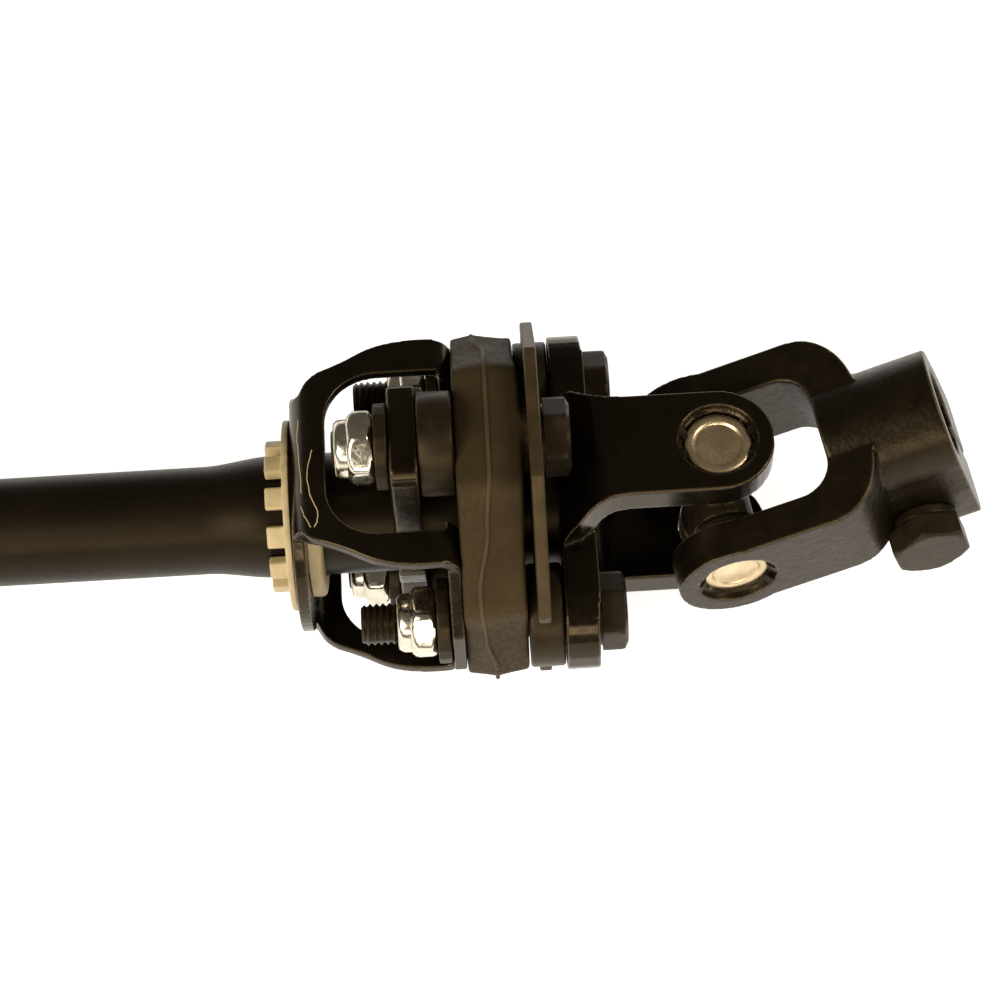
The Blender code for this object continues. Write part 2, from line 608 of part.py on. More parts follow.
def make_coupling_yoke(parent):
    """Plate yoke: two round feet on the coupling, two bent ears that hold the cross."""
    half = YOKE_EAR_WIDTH / 2
    inner = YOKE_EAR_OUTER - YOKE_PLATE
    bend = YOKE_BEND_INNER
    outer_bend = bend + YOKE_PLATE
    tip = NEAR_JOINT_X + half
    reach = BOLT_CIRCLE_RADIUS + half
    far = 2 * reach
    outer = mirrored([(tip + half, YOKE_EAR_OUTER)]
                     + arc((YOKE_FOOT_BACK + outer_bend, YOKE_EAR_OUTER - outer_bend), outer_bend, 90, 180, 8))
    hollow = mirrored([(tip + far, inner)]
                      + arc((YOKE_FOOT_FRONT + bend, inner - bend), bend, 90, 180, 6))
    yoke = prism(outer, -far, far, ACROSS_Y)
    combine(yoke, "DIFFERENCE", prism(hollow, -2 * far, 2 * far, ACROSS_Y))

    # Round ends of the ears
    straight = YOKE_FOOT_BACK + YOKE_FILLET
    ears = mirrored(arc((NEAR_JOINT_X, 0), half, 10, 90, 8)
                    + [(straight, half), (straight, 1.5 * far), (YOKE_FOOT_BACK - half, 1.5 * far)])
    combine(yoke, "INTERSECT", prism(ears, -far, far))

    # The ears flare into the plate with a wide fillet, above and below the feet
    for side in (1, -1):
        flare = arc((straight, half + YOKE_FILLET), YOKE_FILLET, 270, 225, 6)
        flare += [(YOKE_FOOT_BACK - half, flare[-1][1] + half / 2), (YOKE_FOOT_BACK - half, 2 * far),
                  (straight, 2 * far)]
        outline = [(along, side * across) for along, across in flare]
        combine(yoke, "DIFFERENCE", prism(outline, half, far), prism(outline, -far, -half))

    # Round tabs of the feet
    tabs = mirrored(arc((BOLT_CIRCLE_RADIUS, 0), half, 10, 90, 8) + [(BOLT_CIRCLE_RADIUS, far)]
                    + [(-BOLT_CIRCLE_RADIUS, far)] + arc((-BOLT_CIRCLE_RADIUS, 0), half, 90, 170, 8))
    combine(yoke, "INTERSECT", prism(tabs, YOKE_FOOT_BACK - half, tip + half, ACROSS_X))

    hole = BOLT_DIAMETER / 2 + FIT_GAP
    for side in (1, -1):
        combine(yoke, "DIFFERENCE", rod(hole, 0, NEAR_JOINT_X, centre=(0, side * BOLT_CIRCLE_RADIUS, 0)))
    bore_ears(yoke, YOKE_EAR_OUTER, NEAR_JOINT_X, ACROSS_Z)
    return finish(yoke, "coupling_yoke", "black_paint", parent)


def bore_ears(yoke, ear_outer, centre_x, stand):
    """Bearing bores through both ears, each with a wider recess at its mouth."""
    bore = CUP_DIAMETER / 2 + FIT_GAP
    combine(yoke, "DIFFERENCE", rod(bore, -2 * ear_outer, 2 * ear_outer, stand, CUP_SIDES, (centre_x, 0, 0)))
    recess = RECESS_DIAMETER / 2
    depth = ear_outer - CUP_RECESS
    for low, high in ((depth, 2 * ear_outer), (-2 * ear_outer, -depth)):
        combine(yoke, "DIFFERENCE", rod(recess, low, high, stand, CUP_SIDES, (centre_x, 0, 0)))


def make_cross(name, parent):
    """The cross: four trunnions with shoulders, two along Z and two along Y."""
    shoulder = CROSS_SHOULDER_DIAMETER / 2
    trunnion = TRUNNION_DIAMETER / 2
    edge = 0.8 * MM

    def arm(ear_outer, stand):
        tip = ear_outer - CUP_RECESS - CUP_WALL - 2 * FIT_GAP
        half = [(0, tip), (trunnion - edge, tip), (trunnion, tip - edge),
                (trunnion, CROSS_SHOULDER_REACH), (shoulder, CROSS_SHOULDER_REACH)]
        profile = half + [(radius, -height) for radius, height in reversed(half)]
        return turned(profile, stand)

    cross = combine(arm(YOKE_EAR_OUTER, ACROSS_Z), "UNION", arm(CLAMP_EAR_OUTER, ALONG_Y))
    return finish(cross, name, "black_steel", parent)


def make_cups(prefix, first_body, second_body, cross_body, centre):
    """Four bearing cups, pressed in their ears, and four seals on the cross."""
    radius = CUP_DIAMETER / 2
    bore = TRUNNION_DIAMETER / 2 + FIT_GAP
    edge = 0.8 * MM

    def cup(outer_face):
        top = outer_face - CUP_RECESS - FIT_GAP
        return turned([(0, top), (radius - edge, top), (radius, top - edge), (radius, top - CUP_LENGTH),
                       (bore, top - CUP_LENGTH), (bore, top - CUP_WALL), (0, top - CUP_WALL)],
                      ACROSS_Z, CUP_SIDES)

    def seal(outer_face):
        top = outer_face - CUP_RECESS - 2 * FIT_GAP - CUP_LENGTH
        low = CROSS_SHOULDER_REACH + FIT_GAP
        lip = SEAL_DIAMETER / 2
        return turned([(lip - 1.2 * MM, top), (lip, low + 0.4 * (top - low)), (lip - 0.5 * MM, low),
                       (bore, low), (bore, top)], ACROSS_Z)

    half_turn = math.pi
    quarter = math.pi / 2
    first_cup = finish(cup(YOKE_EAR_OUTER), prefix + "_cup_front", "bright_steel", first_body, centre)
    copy_piece(first_cup, prefix + "_cup_rear", centre, half_turn)
    middle = (0, 0, 0)
    second_cup = finish(cup(CLAMP_EAR_OUTER), prefix + "_cup_upper", "bright_steel", second_body,
                        middle, -quarter)
    copy_piece(second_cup, prefix + "_cup_lower", (0, 0, 0), quarter)
    first_seal = finish(seal(YOKE_EAR_OUTER), prefix + "_seal_front", "seal_rubber", cross_body)
    copy_piece(first_seal, prefix + "_seal_rear", (0, 0, 0), half_turn)
    second_seal = finish(seal(CLAMP_EAR_OUTER), prefix + "_seal_upper", "seal_rubber", cross_body,
                         middle, -quarter)
    copy_piece(second_seal, prefix + "_seal_lower", (0, 0, 0), quarter)


def yoke_arms(ear_outer, ear_thickness, body_radius, end):
    """Forged fork of a yoke along +X: two ears across Y that sweep into a round body."""
    ear_end = CLAMP_EAR_DIAMETER / 2
    inner = ear_outer - ear_thickness
    shoulder = CLAMP_U_DEPTH * FORK_SHOULDER_AT
    sweep = CLAMP_U_DEPTH * FORK_SWEEP
    throat = inner * FORK_THROAT
    drop = ear_outer - body_radius
    skin = [(-ear_end, ear_outer)]
    for step in range(6):
        share = step / 5
        skin.append((shoulder + share * sweep, ear_outer - drop * (1 - math.cos(math.pi * share)) / 2))
    skin.append((end, body_radius))
    rim = [(-ear_end, inner)] + arc((CLAMP_U_DEPTH - throat, inner - throat), throat, 90, 0, 6)
    outline = skin + [(a, -b) for a, b in reversed(skin)] + [(a, -b) for a, b in rim] + rim[::-1]
    fork = prism(outline, -2 * ear_end, 2 * ear_end)
    half_width = CLAMP_ARM_WIDTH / 2
    side_view = mirrored(arc((0, 0), ear_end, 172, 68, 10)
                         + [(CLAMP_U_DEPTH, half_width), (end + FIT_GAP, body_radius - FIT_GAP)])
    return combine(fork, "INTERSECT", prism(side_view, -2 * ear_outer, 2 * ear_outer, ACROSS_Y))


def make_clamp_yoke(prefix, parent):
    """Forged clamp yoke: fork, split barrel and pinch ears, with its bolt and lock washer."""
    barrel = BARREL_DIAMETER / 2
    fork_end = CLAMP_U_DEPTH + CLAMP_FORK_END
    yoke = yoke_arms(CLAMP_EAR_OUTER, CLAMP_EAR_THICKNESS, barrel, fork_end)
    core = rod(barrel, CLAMP_U_DEPTH + CLAMP_BARREL_OVERLAP, CLAMP_LENGTH, sides=FINE_SIDES)
    combine(yoke, "UNION", core)
    pinch_x = CLAMP_LENGTH - PINCH_FROM_END
    ear_low = CLAMP_LENGTH - PINCH_EAR_LENGTH
    half = PINCH_EAR_HALF_WIDTH
    ears = mirrored([(-PINCH_EAR_TOP, half * PINCH_EAR_TOP_SHARE), (-barrel * PINCH_EAR_FULL_AT, half),
                     (-PINCH_EAR_DEPTH + PINCH_EAR_CORNER, half),
                     (-PINCH_EAR_DEPTH, half - PINCH_EAR_CORNER)])
    pinch = prism([(across, up) for up, across in ears], ear_low, CLAMP_LENGTH, ACROSS_X)
    combine(yoke, "UNION", pinch)
    combine(yoke, "DIFFERENCE", rod(BARREL_BORE / 2, 0, 2 * CLAMP_LENGTH, sides=FINE_SIDES))
    combine(yoke, "DIFFERENCE", block((ear_low - PINCH_SLOT_BEHIND, -CLAMP_SLOT / 2, -2 * PINCH_EAR_DEPTH),
                                      (2 * CLAMP_LENGTH, CLAMP_SLOT / 2, 0)))
    combine(yoke, "DIFFERENCE", rod(PINCH_BOLT_DIAMETER / 2 + FIT_GAP, -2 * BARREL_DIAMETER,
                                    2 * BARREL_DIAMETER, ALONG_Y, SIDES, (pinch_x, 0, -PINCH_OFFSET)))
    bore_ears(yoke, CLAMP_EAR_OUTER, 0, ALONG_Y)
    finish(yoke, prefix + "_clamp_yoke", "cast_black", parent)

    seat = PINCH_EAR_HALF_WIDTH + FIT_GAP
    washer = ring(LOCK_WASHER_DIAMETER / 2, PINCH_BOLT_DIAMETER / 2 + FIT_GAP, seat,
                  seat + LOCK_WASHER_THICKNESS, stand=ACROSS_Z)
    combine(washer, "DIFFERENCE", block((0, -LOCK_WASHER_SPLIT / 2, 0),
                                        (LOCK_WASHER_DIAMETER, LOCK_WASHER_SPLIT / 2, 1)))
    place = (pinch_x, 0, -PINCH_OFFSET)
    finish(washer, prefix + "_lock_washer", "black_steel", parent, place, math.pi / 2)
    head_seat = seat + LOCK_WASHER_THICKNESS + FIT_GAP
    bolt = make_bolt_mesh(PINCH_BOLT_DIAMETER, PINCH_BOLT_LENGTH, PINCH_HEAD_ACROSS_FLATS, ACROSS_Z)
    bolt.data.transform(Matrix.Translation((0, 0, head_seat)))
    finish(bolt, prefix + "_pinch_bolt", "black_steel", parent, place, math.pi / 2)


def make_bolt_mesh(diameter, length, across_flats, stand=ACROSS_X):
    """A hexagon bolt: head above zero, shank below it."""
    head = hex_prism(across_flats, 0, HEAD_HEIGHT, stand)
    point = 1.2 * MM
    shank = turned([(0, HEAD_HEIGHT / 2), (diameter / 2, HEAD_HEIGHT / 2), (diameter / 2, point - length),
                    (diameter / 2 - point, -length), (0, -length)], stand)
    return combine(head, "UNION", shank)


def make_nut_mesh():
    """A lock nut with a round collar that holds its nylon ring, its seat at zero."""
    hexagon = hex_prism(HEAD_ACROSS_FLATS, -NUT_HEX_HEIGHT, 0)
    hexagon.data.transform(Matrix.Rotation(math.pi, 4, "Y") @ Matrix.Translation((NUT_HEX_HEIGHT, 0, 0)))
    collar_radius = NUT_COLLAR_DIAMETER / 2
    total = NUT_HEX_HEIGHT + NUT_COLLAR_HEIGHT
    collar = turned([(0, -NUT_HEX_HEIGHT / 2), (collar_radius, -NUT_HEX_HEIGHT / 2),
                     (collar_radius, 0.8 * MM - total), (collar_radius - 0.8 * MM, -total), (0, -total)])
    bore = turned([(0, total), (BOLT_DIAMETER / 2 + FIT_GAP, total),
                   (BOLT_DIAMETER / 2 + FIT_GAP, -NUT_HEX_HEIGHT), (nylon_radius() + FIT_GAP, -NUT_HEX_HEIGHT),
                   (nylon_radius() + FIT_GAP, -2 * total), (0, -2 * total)])
    combine(hexagon, "UNION", collar)
    return combine(hexagon, "DIFFERENCE", bore)


def nylon_radius():
    return NUT_COLLAR_DIAMETER / 2 - 1.1 * MM


def make_fasteners(tube_body, yoke_body):
    """Bolts, washers, lock nuts and their nylon rings, on both sides of the coupling."""
    groups = (
        ("tube", tube_body, STOP_PLATE_FRONT + FIT_GAP, FLANGE_BACK, BOLT_LENGTH_TUBE_SIDE,
         (("front", (0, BOLT_CIRCLE_RADIUS)), ("rear", (0, -BOLT_CIRCLE_RADIUS)))),
        ("yoke", yoke_body, YOKE_FOOT_FRONT + FIT_GAP, CAGE_FOOT_FRONT - CAGE_SHEET, BOLT_LENGTH_YOKE_SIDE,
         (("lower", (-BOLT_CIRCLE_RADIUS, 0)), ("upper", (BOLT_CIRCLE_RADIUS, 0)))),
    )
    nut_mesh = make_nut_mesh()
    nut_data = nut_mesh.data
    bpy.data.objects.remove(nut_mesh)
    insert = ring(nylon_radius(), BOLT_DIAMETER / 2 + FIT_GAP, FIT_GAP / 2 - NUT_HEX_HEIGHT - NUT_COLLAR_HEIGHT,
                  -FIT_GAP - NUT_HEX_HEIGHT)
    insert_data = insert.data
    bpy.data.objects.remove(insert)
    washer = ring(WASHER_DIAMETER / 2, BOLT_DIAMETER / 2 + FIT_GAP, -WASHER_THICKNESS, 0, sides=CUP_SIDES)
    washer_data = washer.data
    bpy.data.objects.remove(washer)
    for side, body, head_seat, washer_seat, length, places in groups:
        bolt = make_bolt_mesh(BOLT_DIAMETER, length, HEAD_ACROSS_FLATS)
        bolt_data = bolt.data
        bpy.data.objects.remove(bolt)
        nut_seat = washer_seat - WASHER_THICKNESS - 2 * FIT_GAP
        for place_name, (across, up) in places:
            pieces = (("bolt", bolt_data, "black_steel", head_seat), ("washer", washer_data, "black_steel",
                      washer_seat - FIT_GAP), ("lock_nut", nut_data, "zinc", nut_seat),
                      ("nylon_ring", insert_data, "nylon", nut_seat))
            for piece, data, material, station in pieces:
                shape = mesh_object(piece, data)
                finish(shape, f"{side}_{piece}_{place_name}", material, body, (station, across, up))


def make_slip_yoke(parent):
    """Forged yoke pressed and welded on the slip shaft's end, its fork towards -X."""
    yoke = yoke_arms(YOKE_EAR_OUTER, YOKE_PLATE, SLIP_DIAMETER / 2 + SLIP_YOKE_WALL,
                     CLAMP_U_DEPTH + SLIP_YOKE_BARREL_LENGTH)
    end = CLAMP_U_DEPTH + SLIP_YOKE_BARREL_LENGTH
    core = rod(SLIP_DIAMETER / 2 + SLIP_YOKE_WALL, CLAMP_U_DEPTH + CLAMP_BARREL_OVERLAP, end,
               sides=FINE_SIDES)
    combine(yoke, "UNION", core)
    socket = double_flat(SLIP_DIAMETER / 2 + FIT_GAP, SLIP_FLAT_WIDTH / 2 + FIT_GAP,
                         end - SLIP_YOKE_SPIGOT - FIT_GAP, 2 * end)
    socket.data.transform(Matrix.Rotation(math.pi / 2, 4, "X"))
    combine(yoke, "DIFFERENCE", socket)
    bore_ears(yoke, YOKE_EAR_OUTER, 0, ALONG_Y)
    yoke.data.transform(Matrix.Rotation(math.pi / 2, 4, "X"))
    return finish(yoke, "slip_yoke", "cast_black", parent, (FAR_JOINT_X, 0, 0))


def build():
    """Build every body, from the tube outwards to both clamp yokes."""
    axis = make_pivot("shaft_axis", None, (-STOP_PLATE_MIDDLE, 0, STOP_PLATE_REACH))
    tube_body = make_pivot("tube_body", axis)
    coupling_body = make_pivot("coupling_body", axis)
    near_cross_body = make_pivot("near_cross_body", coupling_body, (NEAR_JOINT_X, 0, 0), NEAR_CROSS_TURN, "Z")
    near_clamp_body = make_pivot("near_clamp_body", near_cross_body, (0, 0, 0), NEAR_YOKE_TURN, "Y")
    slip_body = make_pivot("slip_body", axis)
    far_cross_body = make_pivot("far_cross_body", slip_body, (FAR_JOINT_X, 0, 0), FAR_CROSS_TURN, "Z")
    far_clamp_body = make_pivot("far_clamp_body", far_cross_body, (0, 0, 0), FAR_YOKE_TURN, "Y")

    make_tube(tube_body)
    make_tube_flange(tube_body)
    make_disc(tube_body)
    make_stop_plate(tube_body)
    make_spacers(tube_body, coupling_body)
    make_fasteners(tube_body, coupling_body)
    make_cage(coupling_body)
    make_bushing(coupling_body)
    make_coupling_yoke(coupling_body)
    make_cross("near_cross", near_cross_body)
    make_cups("near", coupling_body, near_clamp_body, near_cross_body, (NEAR_JOINT_X, 0, 0))
    make_clamp_yoke("near", near_clamp_body)
    make_slip(tube_body, slip_body)
    make_slip_yoke(slip_body)
    make_cross("far_cross", far_cross_body)
    make_cups("far", slip_body, far_clamp_body, far_cross_body, (FAR_JOINT_X, 0, 0))
    far_fork = make_pivot("far_fork", far_clamp_body, (0, 0, 0), math.pi, "Z")
    make_clamp_yoke("far", far_fork)


build()
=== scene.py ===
"""Looks of the intermediate steering shaft: finishes, the finer pieces that stand in for plain nodes,
and the floor, light and camera."""
import json
import math
import random

import bmesh
import bpy
from mathutils import Matrix, Vector
from mathutils.bvhtree import BVHTree


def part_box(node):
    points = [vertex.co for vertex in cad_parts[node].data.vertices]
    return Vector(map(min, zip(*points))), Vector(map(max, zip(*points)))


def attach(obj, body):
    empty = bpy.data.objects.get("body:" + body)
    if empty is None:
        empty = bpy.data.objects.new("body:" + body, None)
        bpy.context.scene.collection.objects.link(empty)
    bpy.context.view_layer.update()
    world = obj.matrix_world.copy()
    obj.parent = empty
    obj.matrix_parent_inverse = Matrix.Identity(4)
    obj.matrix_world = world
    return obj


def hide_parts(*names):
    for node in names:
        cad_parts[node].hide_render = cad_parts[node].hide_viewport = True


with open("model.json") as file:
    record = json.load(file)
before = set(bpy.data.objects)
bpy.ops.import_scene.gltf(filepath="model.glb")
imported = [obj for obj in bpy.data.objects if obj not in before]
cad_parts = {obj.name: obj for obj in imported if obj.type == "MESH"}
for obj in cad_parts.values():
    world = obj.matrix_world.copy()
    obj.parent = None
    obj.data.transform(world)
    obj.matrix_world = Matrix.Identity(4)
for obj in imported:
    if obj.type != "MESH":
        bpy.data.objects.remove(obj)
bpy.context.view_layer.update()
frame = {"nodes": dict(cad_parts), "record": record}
MM = 0.001

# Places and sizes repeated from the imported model, in metres
JOINTS = {joint["name"]: joint for joint in frame["record"]["behaviour"]["joints"]}
AXIS_POINT = Vector(JOINTS["coupling_twist"]["pos_m"])
DISC_LEFT = Vector(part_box("flex_disc")[0]).x
DISC_THICKNESS = 14.5 * MM
DISC_MIDDLE = DISC_LEFT + DISC_THICKNESS / 2
FOOT_BOLT = (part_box("yoke_spacer_upper")[0][1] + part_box("yoke_spacer_upper")[1][1]) / 2
BOLT_DIAMETER = 10 * MM
THREAD_PITCH = 1.5 * MM
THREAD_LENGTH = 24 * MM
HEAD_HEIGHT = 6.4 * MM
HEAD_FLATS = 16 * MM
CUP_RADIUS = 8 * MM
CUP_LENGTH = 9.6 * MM
CUP_WALL = 1.4 * MM
CUP_BORE = 5.25 * MM
CUP_SINK = 2.05 * MM
RECESS_RADIUS = 9.15 * MM
SHEET_EAR_OUTER = 24.8 * MM
FORGED_EAR_OUTER = 24.4 * MM
PLAY = 0.1 * MM

# The coupling's bolts, each with its nut, washer and spacer: kind, place and the body that carries them
FASTENERS = (("tube", "front", "tube_body"), ("tube", "rear", "tube_body"),
             ("yoke", "lower", "coupling_body"), ("yoke", "upper", "coupling_body"))

# Edges sharper than these angles stay crisp, on the model's nodes and on new pieces
NODE_CREASE = math.radians(32)
PIECE_CREASE = math.radians(40)

random.seed(7)


# Materials

# Where a noise or the pointedness of an edge starts and ends to bring in a second tone or gloss
TONE_RANGE = (0.35, 0.65)
GLOSS_RANGE = (0.3, 0.7)
# Pointed edges are lightened to tan, a painted edge highlight with some wear: where that starts and ends, and
# its most
EDGE_HIGHLIGHT_AND_WEAR_RANGE = (0.525, 0.585)
EDGE_HIGHLIGHT_AND_WEAR_MOST = 0.75
SPECK_SCALE = 700
SPECK_SOFTNESS = 0.05
DENT_SCALE = 2.5
DENT_DEPTH = 0.3 * MM


def node_tree(name):
    """A new material with its nodes, links and main shader."""
    material = bpy.data.materials.new(name)
    material.use_nodes = True
    nodes = material.node_tree.nodes
    return material, nodes, material.node_tree.links, nodes["Principled BSDF"]


def noise(nodes, links, place, scale, detail=3.0, rough=0.55):
    """A noise over the object's own coordinates."""
    texture = nodes.new("ShaderNodeTexNoise")
    texture.inputs["Scale"].default_value = scale
    texture.inputs["Detail"].default_value = detail
    texture.inputs["Roughness"].default_value = rough
    links.new(place, texture.inputs["Vector"])
    return texture.outputs["Fac"]


def remap(nodes, links, value, low, high, to_low, to_high):
    """A value's span from low to high, stretched to another span."""
    step = nodes.new("ShaderNodeMapRange")
    step.inputs["From Min"].default_value = low
    step.inputs["From Max"].default_value = high
    step.inputs["To Min"].default_value = to_low
    step.inputs["To Max"].default_value = to_high
    links.new(value, step.inputs["Value"])
    return step.outputs["Result"]


def mix_colour(nodes, links, factor, first, second):
    """Two colours, or a socket and a colour, mixed by a factor."""
    step = nodes.new("ShaderNodeMix")
    step.data_type = "RGBA"
    links.new(factor, step.inputs["Factor"])
    for socket, colour in (("A", first), ("B", second)):
        target = [item for item in step.inputs if item.name == socket and item.type == "RGBA"][0]
        if isinstance(colour, tuple):
            target.default_value = (*colour, 1)
        else:
            links.new(colour, target)
    return [item for item in step.outputs if item.type == "RGBA"][0]


def surface(name, colour, second, rough, metallic=0.0, coarse=120, fine=900, grain=0.15, grain_depth=0.05,
            specks=None, speck_colour=None, tint=None, specular=0.5, edge_highlight_and_wear=None, dent=0.0):
    """A finish with two mixed tones, uneven gloss, fine grain and, where asked, specks, a painted edge
    highlight with some wear, and dents.
    """
    material, nodes, links, shader = node_tree(name)
    place = nodes.new("ShaderNodeTexCoord").outputs["Object"]
    broad = noise(nodes, links, place, coarse)
    small = noise(nodes, links, place, fine, 5.0, 0.6)
    tone = mix_colour(nodes, links, remap(nodes, links, broad, *TONE_RANGE, 0, 1), colour, second)
    if specks:
        dust = noise(nodes, links, place, SPECK_SCALE, 6.0, 0.7)
        fleck = remap(nodes, links, dust, specks, specks + SPECK_SOFTNESS, 0, 1)
        tone = mix_colour(nodes, links, fleck, tone, speck_colour)
    # Painted edge highlight, with some wear: pointed edges mixed towards a tan
    if edge_highlight_and_wear:
        pointed = nodes.new("ShaderNodeNewGeometry").outputs["Pointiness"]
        edge = remap(nodes, links, pointed, *EDGE_HIGHLIGHT_AND_WEAR_RANGE, 0, EDGE_HIGHLIGHT_AND_WEAR_MOST)
        tone = mix_colour(nodes, links, edge, tone, edge_highlight_and_wear)
    links.new(tone, shader.inputs["Base Color"])
    links.new(remap(nodes, links, small, *GLOSS_RANGE, *rough), shader.inputs["Roughness"])
    shader.inputs["Metallic"].default_value = metallic
    shader.inputs["Specular IOR Level"].default_value = specular
    if tint:
        shader.inputs["Specular Tint"].default_value = (*tint, 1)
    bump = nodes.new("ShaderNodeBump")
    bump.inputs["Strength"].default_value = grain
    bump.inputs["Distance"].default_value = grain_depth * MM
    links.new(small, bump.inputs["Height"])
    last = bump
    if dent:
        lumps = nodes.new("ShaderNodeBump")
        lumps.inputs["Strength"].default_value = dent
        lumps.inputs["Distance"].default_value = DENT_DEPTH
        links.new(noise(nodes, links, place, coarse * DENT_SCALE, 2.0, 0.5), lumps.inputs["Height"])
        links.new(bump.outputs["Normal"], lumps.inputs["Normal"])
        last = lumps
    links.new(last.outputs["Normal"], shader.inputs["Normal"])
    return material


# Tint of the gloss on dark finishes, and the looks by the name of their material slot or part
WARM = (1.0, 0.76, 0.46)
LOOKS = {
    # The tan edge colours of gloss_black and cast_black are a painted edge highlight, with some wear
    "black_paint": surface("gloss_black", (0.0020, 0.0016, 0.0010), (0.0038, 0.0029, 0.0018), (0.19, 0.31),
                           coarse=90, fine=520, grain=0.22, specks=0.72, speck_colour=(0.06, 0.042, 0.022),
                           tint=WARM, specular=0.38, edge_highlight_and_wear=(0.20, 0.145, 0.075)),
    "satin_black": surface("satin_black", (0.0034, 0.0027, 0.0018), (0.0060, 0.0047, 0.0030), (0.36, 0.48),
                           coarse=45, fine=900, grain=0.22, specks=0.735, speck_colour=(0.04, 0.03, 0.018),
                           tint=WARM, specular=0.20),
    "cast_black": surface("cast_black", (0.0030, 0.0023, 0.0014), (0.0075, 0.0056, 0.0033), (0.27, 0.41),
                          coarse=170, fine=640, grain=0.7, grain_depth=0.14, specks=0.71,
                          speck_colour=(0.07, 0.05, 0.026), tint=WARM, specular=0.30,
                          edge_highlight_and_wear=(0.26, 0.19, 0.10), dent=0.3),
    "rubber": surface("disc_rubber", (0.0230, 0.0160, 0.0078), (0.0390, 0.0270, 0.0130), (0.55, 0.80),
                      coarse=70, fine=900, grain=0.55, grain_depth=0.08, specks=0.70,
                      speck_colour=(0.070, 0.050, 0.026), tint=WARM, specular=0.30),
    # Lighter rubber for the moulding line: a painted highlight along its ridge
    "flash_rubber_painted_highlight": surface("flash_rubber_painted_highlight", (0.050, 0.0355, 0.0180), (0.075, 0.0540, 0.0280), (0.55, 0.75),
                            coarse=70, fine=900, grain=0.4, tint=WARM, specular=0.30),
    "black_steel": surface("oxide_steel", (0.0100, 0.0072, 0.0040), (0.0190, 0.0138, 0.0076), (0.34, 0.50),
                           coarse=200, fine=1100, grain=0.35, specks=0.73, speck_colour=(0.07, 0.05, 0.03),
                           tint=WARM, specular=0.24),
    "sheared_steel": surface("sheared_steel", (0.034, 0.0240, 0.0120), (0.050, 0.0350, 0.0180), (0.40, 0.55),
                             coarse=200, fine=1100, grain=0.35, tint=WARM, specular=0.30),
    "zinc": surface("zinc_plate", (0.78, 0.73, 0.62), (0.55, 0.51, 0.42), (0.12, 0.28), 1.0,
                    coarse=220, fine=1200, grain=0.25),
    "bright_steel": surface("ground_steel", (0.78, 0.63, 0.41), (0.58, 0.465, 0.30), (0.30, 0.44), 1.0,
                            coarse=190, fine=1500, grain=0.25),
    "cream_plastic": surface("cream_plastic", (0.60, 0.495, 0.28), (0.49, 0.395, 0.215), (0.38, 0.52),
                             coarse=140, fine=700, grain=0.25, specks=0.73, speck_colour=(0.24, 0.17, 0.08)),
    "nylon": surface("white_nylon", (0.60, 0.56, 0.44), (0.46, 0.42, 0.32), (0.40, 0.55),
                     coarse=300, fine=1200),
    "seal_rubber": surface("seal_rubber", (0.0060, 0.0046, 0.0030), (0.0110, 0.0085, 0.0055), (0.5, 0.7),
                           coarse=300, fine=1200, tint=WARM, specular=0.25),
}


def dress(piece, look):
    """Give a piece one look and no other."""
    piece.data.materials.clear()
    piece.data.materials.append(LOOKS[look])


# Pieces carried over from the model

SLOT_OF = {entry["node"]: entry["material_slot"] for entry in frame["record"]["subparts"]}

# Nodes whose edges are rounded: the step of the new surface in millimetres, and the rounds of smoothing
REFINED = {
    "far_clamp_yoke": (0.6, 5), "slip_yoke": (0.6, 5), "coupling_yoke": (0.42, 4), "tube_flange": (0.42, 4),
    "near_cross": (0.4, 4), "near_pinch_bolt": (0.34, 3), "far_pinch_bolt": (0.45, 3),
    "near_lock_washer": (0.3, 2), "far_lock_washer": (0.4, 2),
}
for kind, place, _ in FASTENERS:
    REFINED[f"{kind}_washer_{place}"] = (0.34, 3)


def refine(piece, voxel, rounds, unit=MM):
    """Round a piece's edges as casting and paint do; unit is a millimetre in the mesh's own measure."""
    remesh = piece.modifiers.new("even", "REMESH")
    remesh.mode = "VOXEL"
    remesh.voxel_size = voxel * unit
    remesh.use_smooth_shade = True
    smooth = piece.modifiers.new("round", "SMOOTH")
    smooth.factor = 0.5
    smooth.iterations = rounds


for name, node in frame["nodes"].items():
    dress(node, SLOT_OF[name])
    node.data.shade_smooth()
    node.data.set_sharp_from_angle(angle=NODE_CREASE)
    if name in REFINED:
        refine(node, *REFINED[name])


# New pieces

def linked(name, data):
    """A new object, in the scene."""
    piece = bpy.data.objects.new(name, data)
    bpy.context.scene.collection.objects.link(piece)
    return piece


def add_piece(name, mesh, slot, body, stands_for=(), look=None):
    """A visible piece that rides on a body, in place of the nodes that it stands for."""
    piece = linked(name, mesh)
    mesh.shade_smooth()
    mesh.set_sharp_from_angle(angle=PIECE_CREASE)
    dress(piece, look or slot)
    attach(piece, body)
    if stands_for:
        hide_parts(*stands_for)


def finished(work, name):
    """The mesh of an edited surface, with its faces turned outward."""
    bmesh.ops.recalc_face_normals(work, faces=work.faces)
    mesh = bpy.data.meshes.new(name)
    work.to_mesh(mesh)
    work.free()
    return mesh


def evaluated(piece):
    """A new mesh of a piece with its modifiers applied."""
    bpy.context.view_layer.update()
    return bpy.data.meshes.new_from_object(piece.evaluated_get(bpy.context.evaluated_depsgraph_get()))


def ray_tree(mesh):
    """A mesh as rays can meet it."""
    return BVHTree.FromPolygons([vertex.co.copy() for vertex in mesh.vertices],
                                [tuple(polygon.vertices) for polygon in mesh.polygons])


def corners(node):
    """The lowest and the highest corner of a node's box."""
    return [Vector(corner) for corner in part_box(node)]


def centre_on(mesh, low, high, turn=0):
    """Move a mesh from the X axis to the middle of a box, turned by some degrees."""
    mesh.transform(Matrix.Translation((0, (low.y + high.y) / 2, (low.z + high.z) / 2))
                   @ Matrix.Rotation(math.radians(turn), 4, "X"))


def eased(share):
    """A share that starts and ends gently."""
    return share * share * (3 - 2 * share)


